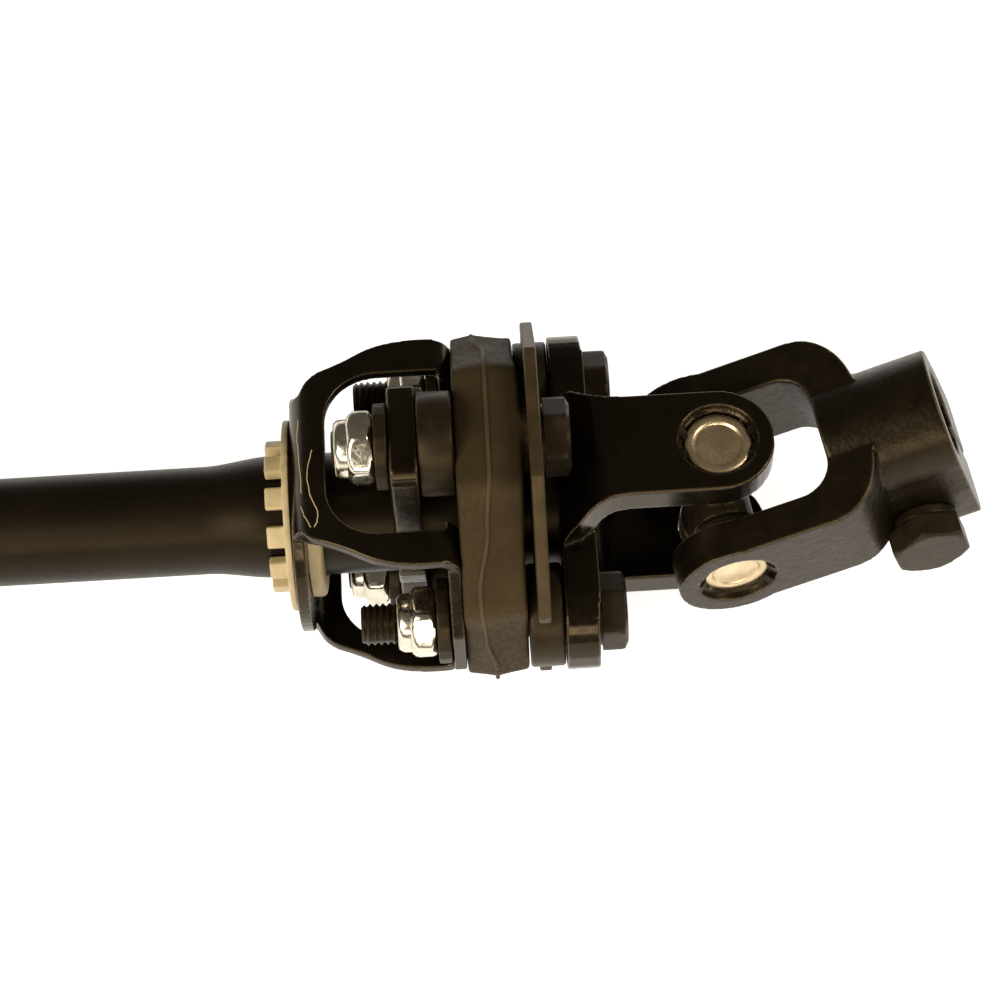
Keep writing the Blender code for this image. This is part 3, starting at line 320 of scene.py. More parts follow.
def ringed(name, stations, sides, radius_at):
    """A closed mesh of rings along X; radius_at(station index, station, angle) gives each point."""
    work = bmesh.new()
    rings = []
    for index, station in enumerate(stations):
        ring = []
        for side in range(sides):
            angle = 2 * math.pi * side / sides
            radius = radius_at(index, station, angle)
            ring.append(work.verts.new((station, radius * math.cos(angle), radius * math.sin(angle))))
        rings.append(ring)
    for low, high in zip(rings, rings[1:]):
        for side in range(sides):
            after = (side + 1) % sides
            work.faces.new((low[side], low[after], high[after], high[side]))
    for ring, station in ((rings[0], stations[0]), (rings[-1], stations[-1])):
        centre = work.verts.new((station, 0, 0))
        for side in range(sides):
            work.faces.new((ring[side], ring[(side + 1) % sides], centre))
    return finished(work, name)


# A bolt: shares of its head's half width, slopes of its chamfers, and lengths in metres
WORN_CORNER, HEAD_TOP_SHARE, HEAD_SLOPE, WASHER_FACE_SHARE = 1.135, 0.93, 2.0, 0.97
WASHER_FACE, SHANK_PLAY, CREST_PLAY = 0.45 * MM, 0.08 * MM, 0.05 * MM
THREAD_DEPTH, THREAD_SHAPE, THREAD_RUNOUT = 0.82 * MM, 0.8, 2 * MM
TIP_CHAMFER, TIP_SLOPE = 1.2 * MM, 0.8


def hexagon_radius(flats, angle):
    """Distance to a hexagon's side, its corners a little worn."""
    folded = (angle + math.pi / 6) % (math.pi / 3) - math.pi / 6
    return min(flats / 2 / math.cos(folded), flats / 2 * WORN_CORNER)


def bolt_mesh(name, head_top, seat, tip, thread_start):
    """A hexagon bolt along X with a chamfered head, a washer face and a true helical thread."""
    sides, head_rings, rings_per_turn = 72, 9, 8
    above_face, step_down = 0.5 * MM, 0.01 * MM
    thread_rings = int((thread_start - tip) / THREAD_PITCH * rings_per_turn)
    stations = [("head", head_top - step * (head_top - seat - above_face) / (head_rings - 1))
                for step in range(head_rings)]
    stations += [("face", seat + WASHER_FACE), ("face", seat), ("shank", seat - step_down),
                 ("shank", thread_start)]
    stations += [("thread", thread_start - step * (thread_start - tip) / thread_rings)
                 for step in range(1, thread_rings + 1)]
    kinds = [kind for kind, _ in stations]

    def radius_at(index, station, angle):
        kind = kinds[index]
        if kind == "head":
            cone = HEAD_FLATS / 2 * HEAD_TOP_SHARE + (head_top - station) * HEAD_SLOPE
            return min(hexagon_radius(HEAD_FLATS, angle), cone)
        if kind == "face":
            return HEAD_FLATS / 2 * WASHER_FACE_SHARE
        if kind == "shank":
            return BOLT_DIAMETER / 2 - SHANK_PLAY
        turn = ((station - tip) / THREAD_PITCH + angle / (2 * math.pi)) % 1
        depth = THREAD_DEPTH * abs(2 * turn - 1) ** THREAD_SHAPE
        taper = max(0, TIP_CHAMFER - (station - tip)) * TIP_SLOPE
        runout = max(0, 1 - (thread_start - station) / THREAD_RUNOUT)
        return BOLT_DIAMETER / 2 - CREST_PLAY - max(depth * (1 - runout), taper)

    return ringed(name, [station for _, station in stations], sides, radius_at)


def make_bolts():
    """Coupling bolts with real threads, in place of the plain ones."""
    for kind, place, body in FASTENERS:
        name = f"{kind}_bolt_{place}"
        low, high = corners(name)
        mesh = bolt_mesh(name + "_threaded", high.x, high.x - HEAD_HEIGHT, low.x, low.x + THREAD_LENGTH)
        centre_on(mesh, low, high)
        add_piece(name + "_threaded", mesh, "black_steel", body, (name,))


def turned(name, profile, sides, matrix):
    """A turned piece about its own Z: (radius, height) points from top to bottom, then back inside."""
    work = bmesh.new()
    rings = []
    for radius, height in profile:
        if radius == 0:
            rings.append([work.verts.new((0, 0, height))])
        else:
            rings.append([work.verts.new((radius * math.cos(2 * math.pi * side / sides),
                                          radius * math.sin(2 * math.pi * side / sides), height))
                          for side in range(sides)])
    for upper, lower in zip(rings, rings[1:]):
        for side in range(sides):
            after = (side + 1) % sides
            if len(upper) == 1:
                work.faces.new((upper[0], lower[side], lower[after]))
            elif len(lower) == 1:
                work.faces.new((upper[side], lower[0], upper[after]))
            else:
                work.faces.new((upper[side], lower[side], lower[after], upper[after]))
    mesh = finished(work, name)
    mesh.transform(matrix)
    return mesh


def facing(point, axis):
    """A matrix that stands Z along axis at point."""
    return Matrix.Translation(point) @ Vector((0, 0, 1)).rotation_difference(axis).to_matrix().to_4x4()


def cup_profile(top):
    """A drawn cup: rolled rim, ring groove and slightly domed centre."""
    open_end = top - CUP_LENGTH
    return [(0, top - 0.35 * MM), (2.5 * MM, top - 0.40 * MM), (4.6 * MM, top - 0.60 * MM),
            (5.3 * MM, top - 0.62 * MM), (5.7 * MM, top - 0.15 * MM), (6.1 * MM, top),
            (7.0 * MM, top), (7.6 * MM, top - 0.15 * MM), (7.9 * MM, top - 0.5 * MM),
            (CUP_RADIUS, top - 0.9 * MM), (CUP_RADIUS, open_end + 0.3 * MM),
            (CUP_RADIUS - 0.3 * MM, open_end), (CUP_BORE, open_end), (CUP_BORE, top - CUP_WALL),
            (0, top - CUP_WALL)]


# The stakes of a cup: their places around it in degrees, their half width, and what share their tongues keep
STAKE_PLACES = (18, -18, 162, 198)
STAKE_HALF_WIDTH = 1.5 * MM
STAKE_TONGUE_SHARE = 0.65


def stake_mesh(name, matrix, outer_face):
    """Four punched stakes that hold a cup in its ear: small tongues pressed over the groove."""
    work = bmesh.new()
    for place in STAKE_PLACES:
        middle = math.radians(place)
        spread = STAKE_HALF_WIDTH / RECESS_RADIUS
        rows = []
        for radius, depth in ((RECESS_RADIUS + 0.25 * MM, 0.05 * MM), (RECESS_RADIUS - 0.45 * MM, 0.35 * MM),
                              (CUP_RADIUS - 0.55 * MM, 1.5 * MM), (CUP_RADIUS - 0.25 * MM, 1.85 * MM),
                              (RECESS_RADIUS + 0.25 * MM, 1.95 * MM)):
            row = []
            for side in (-1, -0.5, 0, 0.5, 1):
                narrow = 1 if radius > RECESS_RADIUS else STAKE_TONGUE_SHARE
                angle = middle + side * spread * narrow
                row.append(work.verts.new((radius * math.cos(angle), radius * math.sin(angle),
                                           outer_face - depth)))
            rows.append(row)
        for first, second in zip(rows, rows[1:] + rows[:1]):
            for column in range(len(first) - 1):
                work.faces.new((first[column], first[column + 1], second[column + 1], second[column]))
        work.faces.new([row[0] for row in rows])
        work.faces.new([row[-1] for row in reversed(rows)])
    mesh = finished(work, name)
    mesh.transform(matrix)
    return mesh


def make_cups():
    """Detailed bearing cups and the stakes that lock them, at both universal joints."""
    groups = (
        ("near", "near_joint_first", SHEET_EAR_OUTER, ("front", "rear"), "coupling_body", "black_paint"),
        ("near", "near_joint_second", FORGED_EAR_OUTER, ("upper", "lower"), "near_clamp_body", "cast_black"),
        ("far", "far_joint_first", SHEET_EAR_OUTER, ("front", "rear"), "slip_body", "cast_black"),
        ("far", "far_joint_second", FORGED_EAR_OUTER, ("upper", "lower"), "far_clamp_body", "cast_black"),
    )
    for prefix, joint, outer, sides, body, ear_slot in groups:
        point = Vector(JOINTS[joint]["pos_m"])
        axis = Vector(JOINTS[joint]["axis"]).normalized()
        for side, direction in zip(sides, (axis, -axis)):
            matrix = facing(point, direction)
            name = f"{prefix}_cup_{side}"
            cup = turned(name + "_turned", cup_profile(outer - CUP_SINK), sides=64, matrix=matrix)
            add_piece(name + "_turned", cup, "bright_steel", body, (name,))
            add_piece(f"{prefix}_stakes_{side}", stake_mesh("stakes", matrix, outer), ear_slot, body,
                      look="satin_black")


def looped(name, rows, sides):
    """A closed ring of rows about X: each row is (station, radius at an angle)."""
    work = bmesh.new()
    rings = []
    for station, radius_at in rows:
        ring = []
        for side in range(sides):
            angle = 2 * math.pi * side / sides
            radius = radius_at(angle)
            ring.append(work.verts.new((station, radius * math.cos(angle), radius * math.sin(angle))))
        rings.append(ring)
    for low, high in zip(rings, rings[1:] + rings[:1]):
        for side in range(sides):
            after = (side + 1) % sides
            work.faces.new((low[side], low[after], high[after], high[side]))
    return finished(work, name)


def steady(radius):
    """The same radius at every angle."""
    return lambda angle: radius


# The lock nuts: how far each happens to be turned, in degrees, their size, and shares of the half width
NUT_TURNS = {("tube", "front"): 12, ("tube", "rear"): 0, ("yoke", "lower"): 18, ("yoke", "upper"): 5}
NUT_FLATS, NUT_HEX_LENGTH, NUT_BORE = 15.4 * MM, 5.9 * MM, 5.12 * MM
NUT_CORNER_SHARE, NUT_FACE_SHARE, NUT_STEP_SHARE = 1.12, 0.94, 0.93


def nut_rows(end, face):
    """A lock nut's outline, from its flat face to the end of the collar over the nylon ring, and back."""

    def corner(cut):
        return lambda angle: min(hexagon_radius(NUT_FLATS, angle), NUT_FLATS / 2 * NUT_CORNER_SHARE - cut)

    step = face - NUT_HEX_LENGTH
    return [(face, steady(NUT_BORE)), (face, steady(NUT_FLATS / 2 * NUT_FACE_SHARE)),
            (face - 0.3 * MM, corner(0.9 * MM)), (face - 0.8 * MM, corner(0.3 * MM)),
            (face - 1.4 * MM, corner(0)), (step + 1.5 * MM, corner(0)), (step + 0.8 * MM, corner(0.5 * MM)),
            (step + 0.25 * MM, corner(1.1 * MM)), (step, steady(NUT_FLATS / 2 * NUT_STEP_SHARE)),
            (step - 0.1 * MM, steady(6.9 * MM)), (end + 1.3 * MM, steady(6.8 * MM)),
            (end + 0.6 * MM, steady(6.5 * MM)), (end + 0.1 * MM, steady(5.9 * MM)),
            (end, steady(5.6 * MM)), (end + 0.1 * MM, steady(5.3 * MM)), (end + 0.6 * MM, steady(NUT_BORE))]


def make_nuts():
    """Lock nuts: a chamfered hexagon, and a round collar crimped over the nylon ring."""
    for kind, place, body in FASTENERS:
        node = f"{kind}_lock_nut_{place}"
        low, high = corners(node)
        mesh = looped("nut", nut_rows(low.x, high.x), sides=96)
        centre_on(mesh, low, high, NUT_TURNS[kind, place])
        add_piece(node + "_crimped", mesh, "zinc", body, (node,))


def make_sleeves():
    """Spacer sleeves between the disc and the metal, with softened rims."""
    inner, rim, bevel = BOLT_DIAMETER / 2 + PLAY, 0.6 * MM, 0.2 * MM
    for kind, place, body in FASTENERS:
        node = f"{kind}_spacer_{place}"
        low, high = corners(node)
        outer = (high.y - low.y) / 2
        rows = [(low.x, steady(inner)), (low.x, steady(outer - rim)), (low.x + bevel, steady(outer - bevel)),
                (low.x + rim, steady(outer)), (high.x - rim, steady(outer)),
                (high.x - bevel, steady(outer - bevel)), (high.x, steady(outer - rim)),
                (high.x, steady(inner))]
        mesh = looped("sleeve", rows, sides=72)
        centre_on(mesh, low, high)
        add_piece(node + "_smooth", mesh, "black_steel", body, (node,))


def make_lands():
    """Raised hubs at the middle of the flange, the stop plate and the coupling yoke."""
    flange_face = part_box("tube_flange")[1][0]
    plate_low, plate_high = (corner[0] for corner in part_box("stop_plate"))
    disc_right = DISC_LEFT + DISC_THICKNESS
    foot = min(vertex.co.x for vertex in frame["nodes"]["coupling_yoke"].data.vertices)
    gap, bore = 0.05 * MM, 2 * MM
    for name, low, high, radius, body in (
            ("flange_hub", flange_face - 0.5 * MM, DISC_LEFT + 0.3 * MM, 13 * MM, "tube_body"),
            ("plate_hub", disc_right - 0.3 * MM, plate_low + 0.2 * MM, 14.95 * MM, "tube_body"),
            ("yoke_hub", plate_high + gap, foot + 0.5 * MM, 15.3 * MM, "coupling_body")):
        rows = [(low, steady(bore)), (low, steady(radius)), (high, steady(radius)), (high, steady(bore))]
        mesh = looped(name, rows, sides=72)
        mesh.transform(Matrix.Translation((0, 0, AXIS_POINT.z)))
        add_piece(name, mesh, "black_paint", body, look="satin_black")


# The cage in millimetres: along the shaft from the disc's middle, and out from the axis
CAGE_FRONT, CAGE_BACK, CAGE_SHEET = -7.35, -45.55, 2.9
CAGE_HEIGHT, CAGE_REACH, CAGE_RADIUS, CAGE_ROOT, CAGE_ARM = 28.0, 39.0, 27.5, 18.0, 29.5
CAGE_BEND, CAGE_FOOT_BEND, CAGE_FOOT_TIP, CAGE_FOOT_INNER = 9.0, 5.5, 8.0, 18.5
CAGE_STRAP, CAGE_WINDOW_START, CAGE_WINDOW_CORNER, CAGE_NECK, CAGE_BOLT_HOLE = 8.5, 5.7, 12.0, 17.6, 5.1
CAGE_VOXEL, CAGE_ROUNDS = 0.36, 5


def make_bushing():
    """The cream bushing, its collar kept short inside the cage."""
    mesh = smooth_copy("centring_bushing", 0.34, 3)
    collar_share = 0.5
    base_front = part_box("coupling_cage")[0][0] + CAGE_SHEET * MM
    for vertex in mesh.vertices:
        if vertex.co.x > base_front:
            vertex.co.x = base_front + (vertex.co.x - base_front) * collar_share
    add_piece("centring_bushing_short", mesh, "cream_plastic", "coupling_body", ("centring_bushing",))


def make_stop_plate():
    """The stop plate, narrower on its rear half, with the bare edges of a sheared sheet."""
    mesh = smooth_copy("stop_plate", 0.4, 3)
    narrowing, fade = 0.08, 6 * MM
    for vertex in mesh.vertices:
        behind = min(1, max(0, (AXIS_POINT.z - vertex.co.z) / fade))
        vertex.co.y *= 1 - narrowing * behind
    add_piece("stop_plate_sheared", mesh, "black_paint", "tube_body", ("stop_plate",), look="sheared_steel")


def softened(points, rounds):
    """An open line of points with its corners cut, its ends kept."""
    for _ in range(rounds):
        line = [points[0]]
        for (a, b), (c, d) in zip(points, points[1:]):
            line += [(0.75 * a + 0.25 * c, 0.75 * b + 0.25 * d), (0.25 * a + 0.75 * c, 0.25 * b + 0.75 * d)]
        points = line + [points[-1]]
    return points


def both_sides(points):
    """A line of points, then its mirror image on the way back."""
    return points + [(a, -b) for a, b in reversed(points)]


def make_cage():
    """The stamped cage with the soft outlines of a pressing: base plate, windowed arms and feet."""
    foot_back, base_front = CAGE_FRONT - CAGE_SHEET, CAGE_BACK + CAGE_SHEET
    far, wide, past, lap, tip_rise, hole_reach = 100, 60, 1, 0.1, 2, 4

    def section(back, front, height, base_bend, foot_bend):
        return both_sides(arc((front - foot_bend, height - foot_bend), foot_bend, 0, 90, 10)
                          + arc((back + base_bend, height - base_bend), base_bend, 90, 180, 14))

    outer = section(CAGE_BACK, CAGE_FRONT, CAGE_HEIGHT, CAGE_BEND, CAGE_FOOT_BEND)
    inner = section(base_front, foot_back, CAGE_HEIGHT - CAGE_SHEET, CAGE_BEND - CAGE_SHEET,
                    CAGE_FOOT_BEND - CAGE_SHEET)
    end = foot_back - lap

    # An arm's edge, from the foot to the base plate
    slope = softened([(end, CAGE_ARM), (base_front + 25.5, CAGE_ARM + 0.3), (base_front + 17, CAGE_ARM - 1.0),
                      (base_front + 9.5, CAGE_ARM - 5.2), (base_front + 2, CAGE_ROOT + 3.4),
                      (base_front - lap, CAGE_ROOT + 0.4)], 3)
    arms = both_sides([(CAGE_FRONT + past, CAGE_REACH), (end, CAGE_REACH)] + slope
                      + [(base_front - lap, CAGE_RADIUS), (CAGE_BACK - past, CAGE_RADIUS)])
    root_angle = math.degrees(math.acos(CAGE_ROOT / CAGE_RADIUS))
    base = (arc((0, 0), CAGE_RADIUS, -root_angle, root_angle, 20) + [(CAGE_ROOT, wide), (-CAGE_ROOT, wide)]
            + arc((0, 0), CAGE_RADIUS, 180 - root_angle, 180 + root_angle, 20)
            + [(-CAGE_ROOT, -wide), (CAGE_ROOT, -wide)])
    start = base_front + CAGE_WINDOW_START
    half = CAGE_ARM - CAGE_STRAP
    window = both_sides([(end, half)] + arc((start + CAGE_WINDOW_CORNER, half - CAGE_WINDOW_CORNER),
                                            CAGE_WINDOW_CORNER, 90, 180, 14))
    feet = both_sides([(CAGE_REACH, CAGE_FOOT_TIP), (CAGE_ARM, CAGE_HEIGHT - CAGE_SHEET - tip_rise),
                       (CAGE_ARM, far), (CAGE_FOOT_INNER, far)])
    between = [(base_front, -far), (end, -far), (end, far), (base_front, far)]
    keep, keep_tools = carve(prism(base, CAGE_BACK - past, base_front + lap, (1, 2, 0)), [
        ("UNION", prism(between, -far, far, (0, 1, 2))),
        ("UNION", prism(feet, end - lap, CAGE_FRONT + past, (1, 2, 0))),
        ("UNION", prism([(-a, b) for a, b in feet], end - lap, CAGE_FRONT + past, (1, 2, 0)))])
    bolt = FOOT_BOLT / MM
    holes = [circle((side * bolt, 0), CAGE_BOLT_HOLE) for side in (1, -1)]
    neck = circle((0, 0), CAGE_NECK)
    piece, tools = carve(prism(outer, -CAGE_REACH - past, CAGE_REACH + past, (0, 2, 1)), [
        ("DIFFERENCE", prism(inner, -far, far, (0, 2, 1))),
        ("INTERSECT", prism(arms, -far, far, (0, 1, 2))),
        ("INTERSECT", evaluated(keep)),
        ("DIFFERENCE", prism(window, -far, far, (0, 1, 2))),
        ("DIFFERENCE", prism(neck, CAGE_BACK - 2 * past, base_front + CAGE_SHEET, (1, 2, 0)))]
        + [("DIFFERENCE", prism(hole, end - hole_reach, CAGE_FRONT + 2 * past, (1, 2, 0)))
           for hole in holes])
    refine(piece, CAGE_VOXEL, CAGE_ROUNDS, unit=1)
    mesh = evaluated(piece)
    for item in [piece, keep] + tools + keep_tools:
        bpy.data.objects.remove(item)
    mesh.transform(Matrix.Translation((DISC_MIDDLE, 0, AXIS_POINT.z)) @ Matrix.Scale(MM, 4))
    add_piece("coupling_cage_pressed", mesh, "black_paint", "coupling_body", ("coupling_cage",))
    return mesh


# Pale lines on the cage's base, places on the picture in pixels of a 1000-pixel frame: the first two are
# hairline cracks in the paint, the third is a painted highlight along the base plate's border
CRACKS_AND_EDGE_HIGHLIGHT = (((312, 450), (308, 466), (307, 479), (310, 495), (314, 503), (318, 512), (317, 522), (313, 529)),
          ((301, 507), (304, 516), (308, 522), (312, 529)),
          ((298, 420), (297, 440), (299, 462), (301, 480), (301, 498)))
PALE_LINE_STEPS, PALE_LINE_WANDER, PALE_LINE_HALF_WIDTH, PALE_LINE_FEWEST = 4, 0.4, 0.13 * MM, 4


def make_cracks_and_edge_highlight(mesh):
    """Thin pale lines on the cage's base: cracks where the paint has split, and a painted highlight along the
    base plate's border.
    """
    tree = ray_tree(mesh)
    place = camera_place()
    centre = FRAME_PIXELS / 2
    for number, line in enumerate(CRACKS_AND_EDGE_HIGHLIGHT):
        points = []
        for first, second in zip(line, line[1:]):
            for step in range(PALE_LINE_STEPS):
                across = (first[0] + (second[0] - first[0]) * step / PALE_LINE_STEPS
                          + random.uniform(-PALE_LINE_WANDER, PALE_LINE_WANDER))
                down = first[1] + (second[1] - first[1]) * step / PALE_LINE_STEPS
                ray = place.to_3x3() @ Vector((across - centre, centre - down, -FOCAL_PIXELS))
                hit = tree.ray_cast(place.translation, ray.normalized())[0]
                if hit:
                    points.append(hit)
        if len(points) >= PALE_LINE_FEWEST:
            pale_line = bead("crack_and_highlight_line", points, PALE_LINE_HALF_WIDTH, closed=False)
            # Dressed cream: the first two lines are paint cracks, the third is a painted highlight
            add_piece(f"crack_and_highlight_line_{number + 1}", pale_line, "cream_plastic", "coupling_body")


# The tube in metres: radius, wall, rim, belled end, and the swell between them, outside and inside
TUBE_RADIUS, TUBE_WALL, TUBE_RIM = 12.7 * MM, 2.4 * MM, 0.4 * MM
BELL_LENGTH, SWELL_LENGTH, INNER_SWELL_LENGTH = 28.6 * MM, 16 * MM, 12 * MM


def make_tube():
    """The shaft tube, drawn smooth, with a soft swell into its bell."""
    low, high = corners("shaft_tube")
    bell = (high.y - low.y) / 2
    bore = TUBE_RADIUS - TUBE_WALL
    bell_start = high.x - BELL_LENGTH
    swell_start = bell_start - SWELL_LENGTH
    rows = [(low.x, steady(bore)), (low.x, steady(TUBE_RADIUS - TUBE_RIM)),
            (low.x + TUBE_RIM, steady(TUBE_RADIUS)), (swell_start, steady(TUBE_RADIUS))]
    swell_rings = 14
    for step in range(1, swell_rings):
        share = step / swell_rings
        radius = TUBE_RADIUS + (bell - TUBE_RADIUS) * eased(share)
        rows.append((swell_start + SWELL_LENGTH * share, steady(radius)))
    rows += [(bell_start, steady(bell)), (high.x, steady(bell)), (high.x, steady(bell - TUBE_WALL)),
             (bell_start, steady(bell - TUBE_WALL)), (bell_start - INNER_SWELL_LENGTH, steady(bore))]
    mesh = looped("tube", rows, sides=96)
    mesh.transform(Matrix.Translation((0, 0, AXIS_POINT.z)))
    add_piece("shaft_tube_smooth", mesh, "satin_black", "tube_body", ("shaft_tube",))


def smooth_copy(node, voxel, rounds):
    """A node's mesh, remeshed and rounded, as a new mesh."""
    piece = linked("copy", frame["nodes"][node].data.copy())
    refine(piece, voxel, rounds)
    mesh = evaluated(piece)
    bpy.data.objects.remove(piece)
    return mesh


# Moulding line of the disc: angle from Z towards Y in degrees, and shift along the shaft in millimetres
FLASH_PATH = ((-180, -0.3), (-150, 0.5), (-105, -0.5), (-84, -2.5), (-60, -3.3), (-38, -0.9), (-16, 0.3),
              (40, 0.5), (57, -2.0), (90, -2.6), (118, -3.0), (150, 0.0), (180, -0.3))
FLASH_RADIUS = 0.5 * MM


def flash_shift(angle):
    """The moulding line's shift at an angle, between the listed ones."""
    degrees = math.degrees(angle)
    for (low, first), (high, second) in zip(FLASH_PATH, FLASH_PATH[1:]):
        if low <= degrees <= high:
            share = (degrees - low) / (high - low)
            return (first + (second - first) * eased(share)) * MM
    return FLASH_PATH[0][1] * MM


def bead(name, points, radius, closed):
    """A thin round ridge along a line of points."""
    curve = bpy.data.curves.new(name, "CURVE")
    curve.dimensions = "3D"
    curve.bevel_depth = radius
    curve.bevel_resolution = 2
    curve.use_fill_caps = True
    spline = curve.splines.new("POLY")
    spline.points.add(len(points) - 1)
    for target, point in zip(spline.points, points):
        target.co = (*point, 1)
    spline.use_cyclic_u = closed
    holder = linked(name, curve)
    mesh = evaluated(holder)
    bpy.data.objects.remove(holder)
    return mesh


# The disc: where its swell and draft begin, how soon they are full, and how large they are. Then the ragged
# stretch of its moulding line: its middle and half length in radians, and its height in millimetres
PLAIN_RADIUS, FULL_DEPTH, DISC_SWELL, DISC_DRAFT, DRAFT_SHAPE = 20 * MM, 16 * MM, 0.9 * MM, 1.3 * MM, 0.8
RAGGED_MIDDLE, RAGGED_HALF, RAGGED_MOST = math.radians(-108), 0.4, 0.9
FLASH_POINTS, FLASH_NEIGHBOURS, FLASH_SINK, DISC_CLEAR = 360, 4, 0.02 * MM, 60 * MM


def make_disc():
    """The disc as moulded: draft on both sides of a wavering flash line, a swell near the tube's bolts."""
    mesh = smooth_copy("flex_disc", 0.6, 5)
    half = DISC_THICKNESS / 2
    for vertex in mesh.vertices:
        across = vertex.co.y
        up = vertex.co.z - AXIS_POINT.z
        angle = math.atan2(across, up)
        out = math.hypot(across, up)
        reach = min(1, max(0, (out - PLAIN_RADIUS) / FULL_DEPTH))
        side = (vertex.co.x - DISC_MIDDLE) / half
        swell = DISC_SWELL * max(0, math.cos(2 * angle)) * reach
        from_flash = abs(vertex.co.x - DISC_MIDDLE - flash_shift(angle))
        draft = DISC_DRAFT * min(1, from_flash / half) ** DRAFT_SHAPE * reach
        if side > 0:
            vertex.co.x += swell * min(1, side)
        vertex.co.y -= draft * math.sin(angle)
        vertex.co.z -= draft * math.cos(angle)
    add_piece("flex_disc_moulded", mesh, "rubber", "tube_body", ("flex_disc",))

    tree = ray_tree(mesh)
    angles = [2 * math.pi * index / FLASH_POINTS - math.pi for index in range(FLASH_POINTS)]
    reaches = []
    for angle in angles:
        outward = Vector((0, math.sin(angle), math.cos(angle)))
        start = Vector((DISC_MIDDLE + flash_shift(angle), 0, AXIS_POINT.z)) + DISC_CLEAR * outward
        reaches.append(DISC_CLEAR - tree.ray_cast(start, -outward)[3])
    points = []
    for index, angle in enumerate(angles):
        near = [reaches[(index + step) % FLASH_POINTS]
                for step in range(-FLASH_NEIGHBOURS, FLASH_NEIGHBOURS + 1)]
        away = abs((angle - RAGGED_MIDDLE + math.pi) % (2 * math.pi) - math.pi)
        ragged = max(0, 1 - away / RAGGED_HALF) * random.uniform(0, RAGGED_MOST) * MM
        place = sum(near) / len(near) + ragged - FLASH_SINK
        points.append((DISC_MIDDLE + flash_shift(angle), place * math.sin(angle),
                       AXIS_POINT.z + place * math.cos(angle)))
    # The moulding line's bead is dressed lighter than the disc: a painted highlight along the ridge
    add_piece("disc_flash", bead("disc_flash", points, FLASH_RADIUS, closed=True), "rubber", "tube_body",
              look="flash_rubber_painted_highlight")


def prism(outline, low, high, axes):
    """An outline with thickness; axes names which of X, Y and Z the outline and the thickness lie along."""
    work = bmesh.new()
    ends = []
    for height in (low, high):
        row = []
        for first, second in outline:
            place = [0, 0, 0]
            place[axes[0]], place[axes[1]], place[axes[2]] = first, second, height
            row.append(work.verts.new(place))
        ends.append(row)
        work.faces.new(row)
    for index in range(len(outline)):
        after = (index + 1) % len(outline)
        work.faces.new((ends[0][index], ends[0][after], ends[1][after], ends[1][index]))
    return finished(work, "prism")


def circle(centre, radius, sides=96):
    """Points around a centre."""
    return [(centre[0] + radius * math.cos(2 * math.pi * side / sides),
             centre[1] + radius * math.sin(2 * math.pi * side / sides)) for side in range(sides)]


def arc(centre, radius, start, end, steps):
    """Points on an arc from one angle to another, in degrees."""
    angles = [math.radians(start + (end - start) * step / steps) for step in range(steps + 1)]
    return [(centre[0] + radius * math.cos(angle), centre[1] + radius * math.sin(angle)) for angle in angles]


def carve(mesh, steps):
    """Join, cut or intersect a mesh with others: gives the object that does so, and the tools it needs."""
    piece = linked("work", mesh)
    tools = []
    for operation, other in steps:
        tool = linked("tool", other)
        tools.append(tool)
        step = piece.modifiers.new(operation, "BOOLEAN")
        step.operation = operation
        step.solver = "EXACT"
        step.object = tool
    return piece, tools


# The near clamp yoke in metres, along its barrel from the joint: ears and arms, fork, barrel and pinch ears
YOKE_EAR, YOKE_WALL, YOKE_HALF_DEPTH, YOKE_LENGTH = 14 * MM, 9 * MM, 13 * MM, 57 * MM
FORK_DEPTH, FORK_CORNER, FORK_END, FORK_SHOULDER = 29 * MM, 8 * MM, 40 * MM, 2 * MM
BARREL_RADIUS, BARREL_BORE = 15.4 * MM, 10.5 * MM
PINCH_LENGTH, PINCH_DEPTH, PINCH_HALF = 25 * MM, 25.5 * MM, 16.5 * MM
PINCH_FLARE, PINCH_CORNER = 9 * MM, 5 * MM
PINCH_BOLT_BACK, PINCH_BOLT_DOWN, SLOT_HALF, SLOT_LENGTH = 13.5 * MM, 16.2 * MM, 1.1 * MM, 28 * MM
YOKE_VOXEL, YOKE_ROUNDS = 0.42, 6
NEAR_YOKE_TURN = math.radians(-17.7)


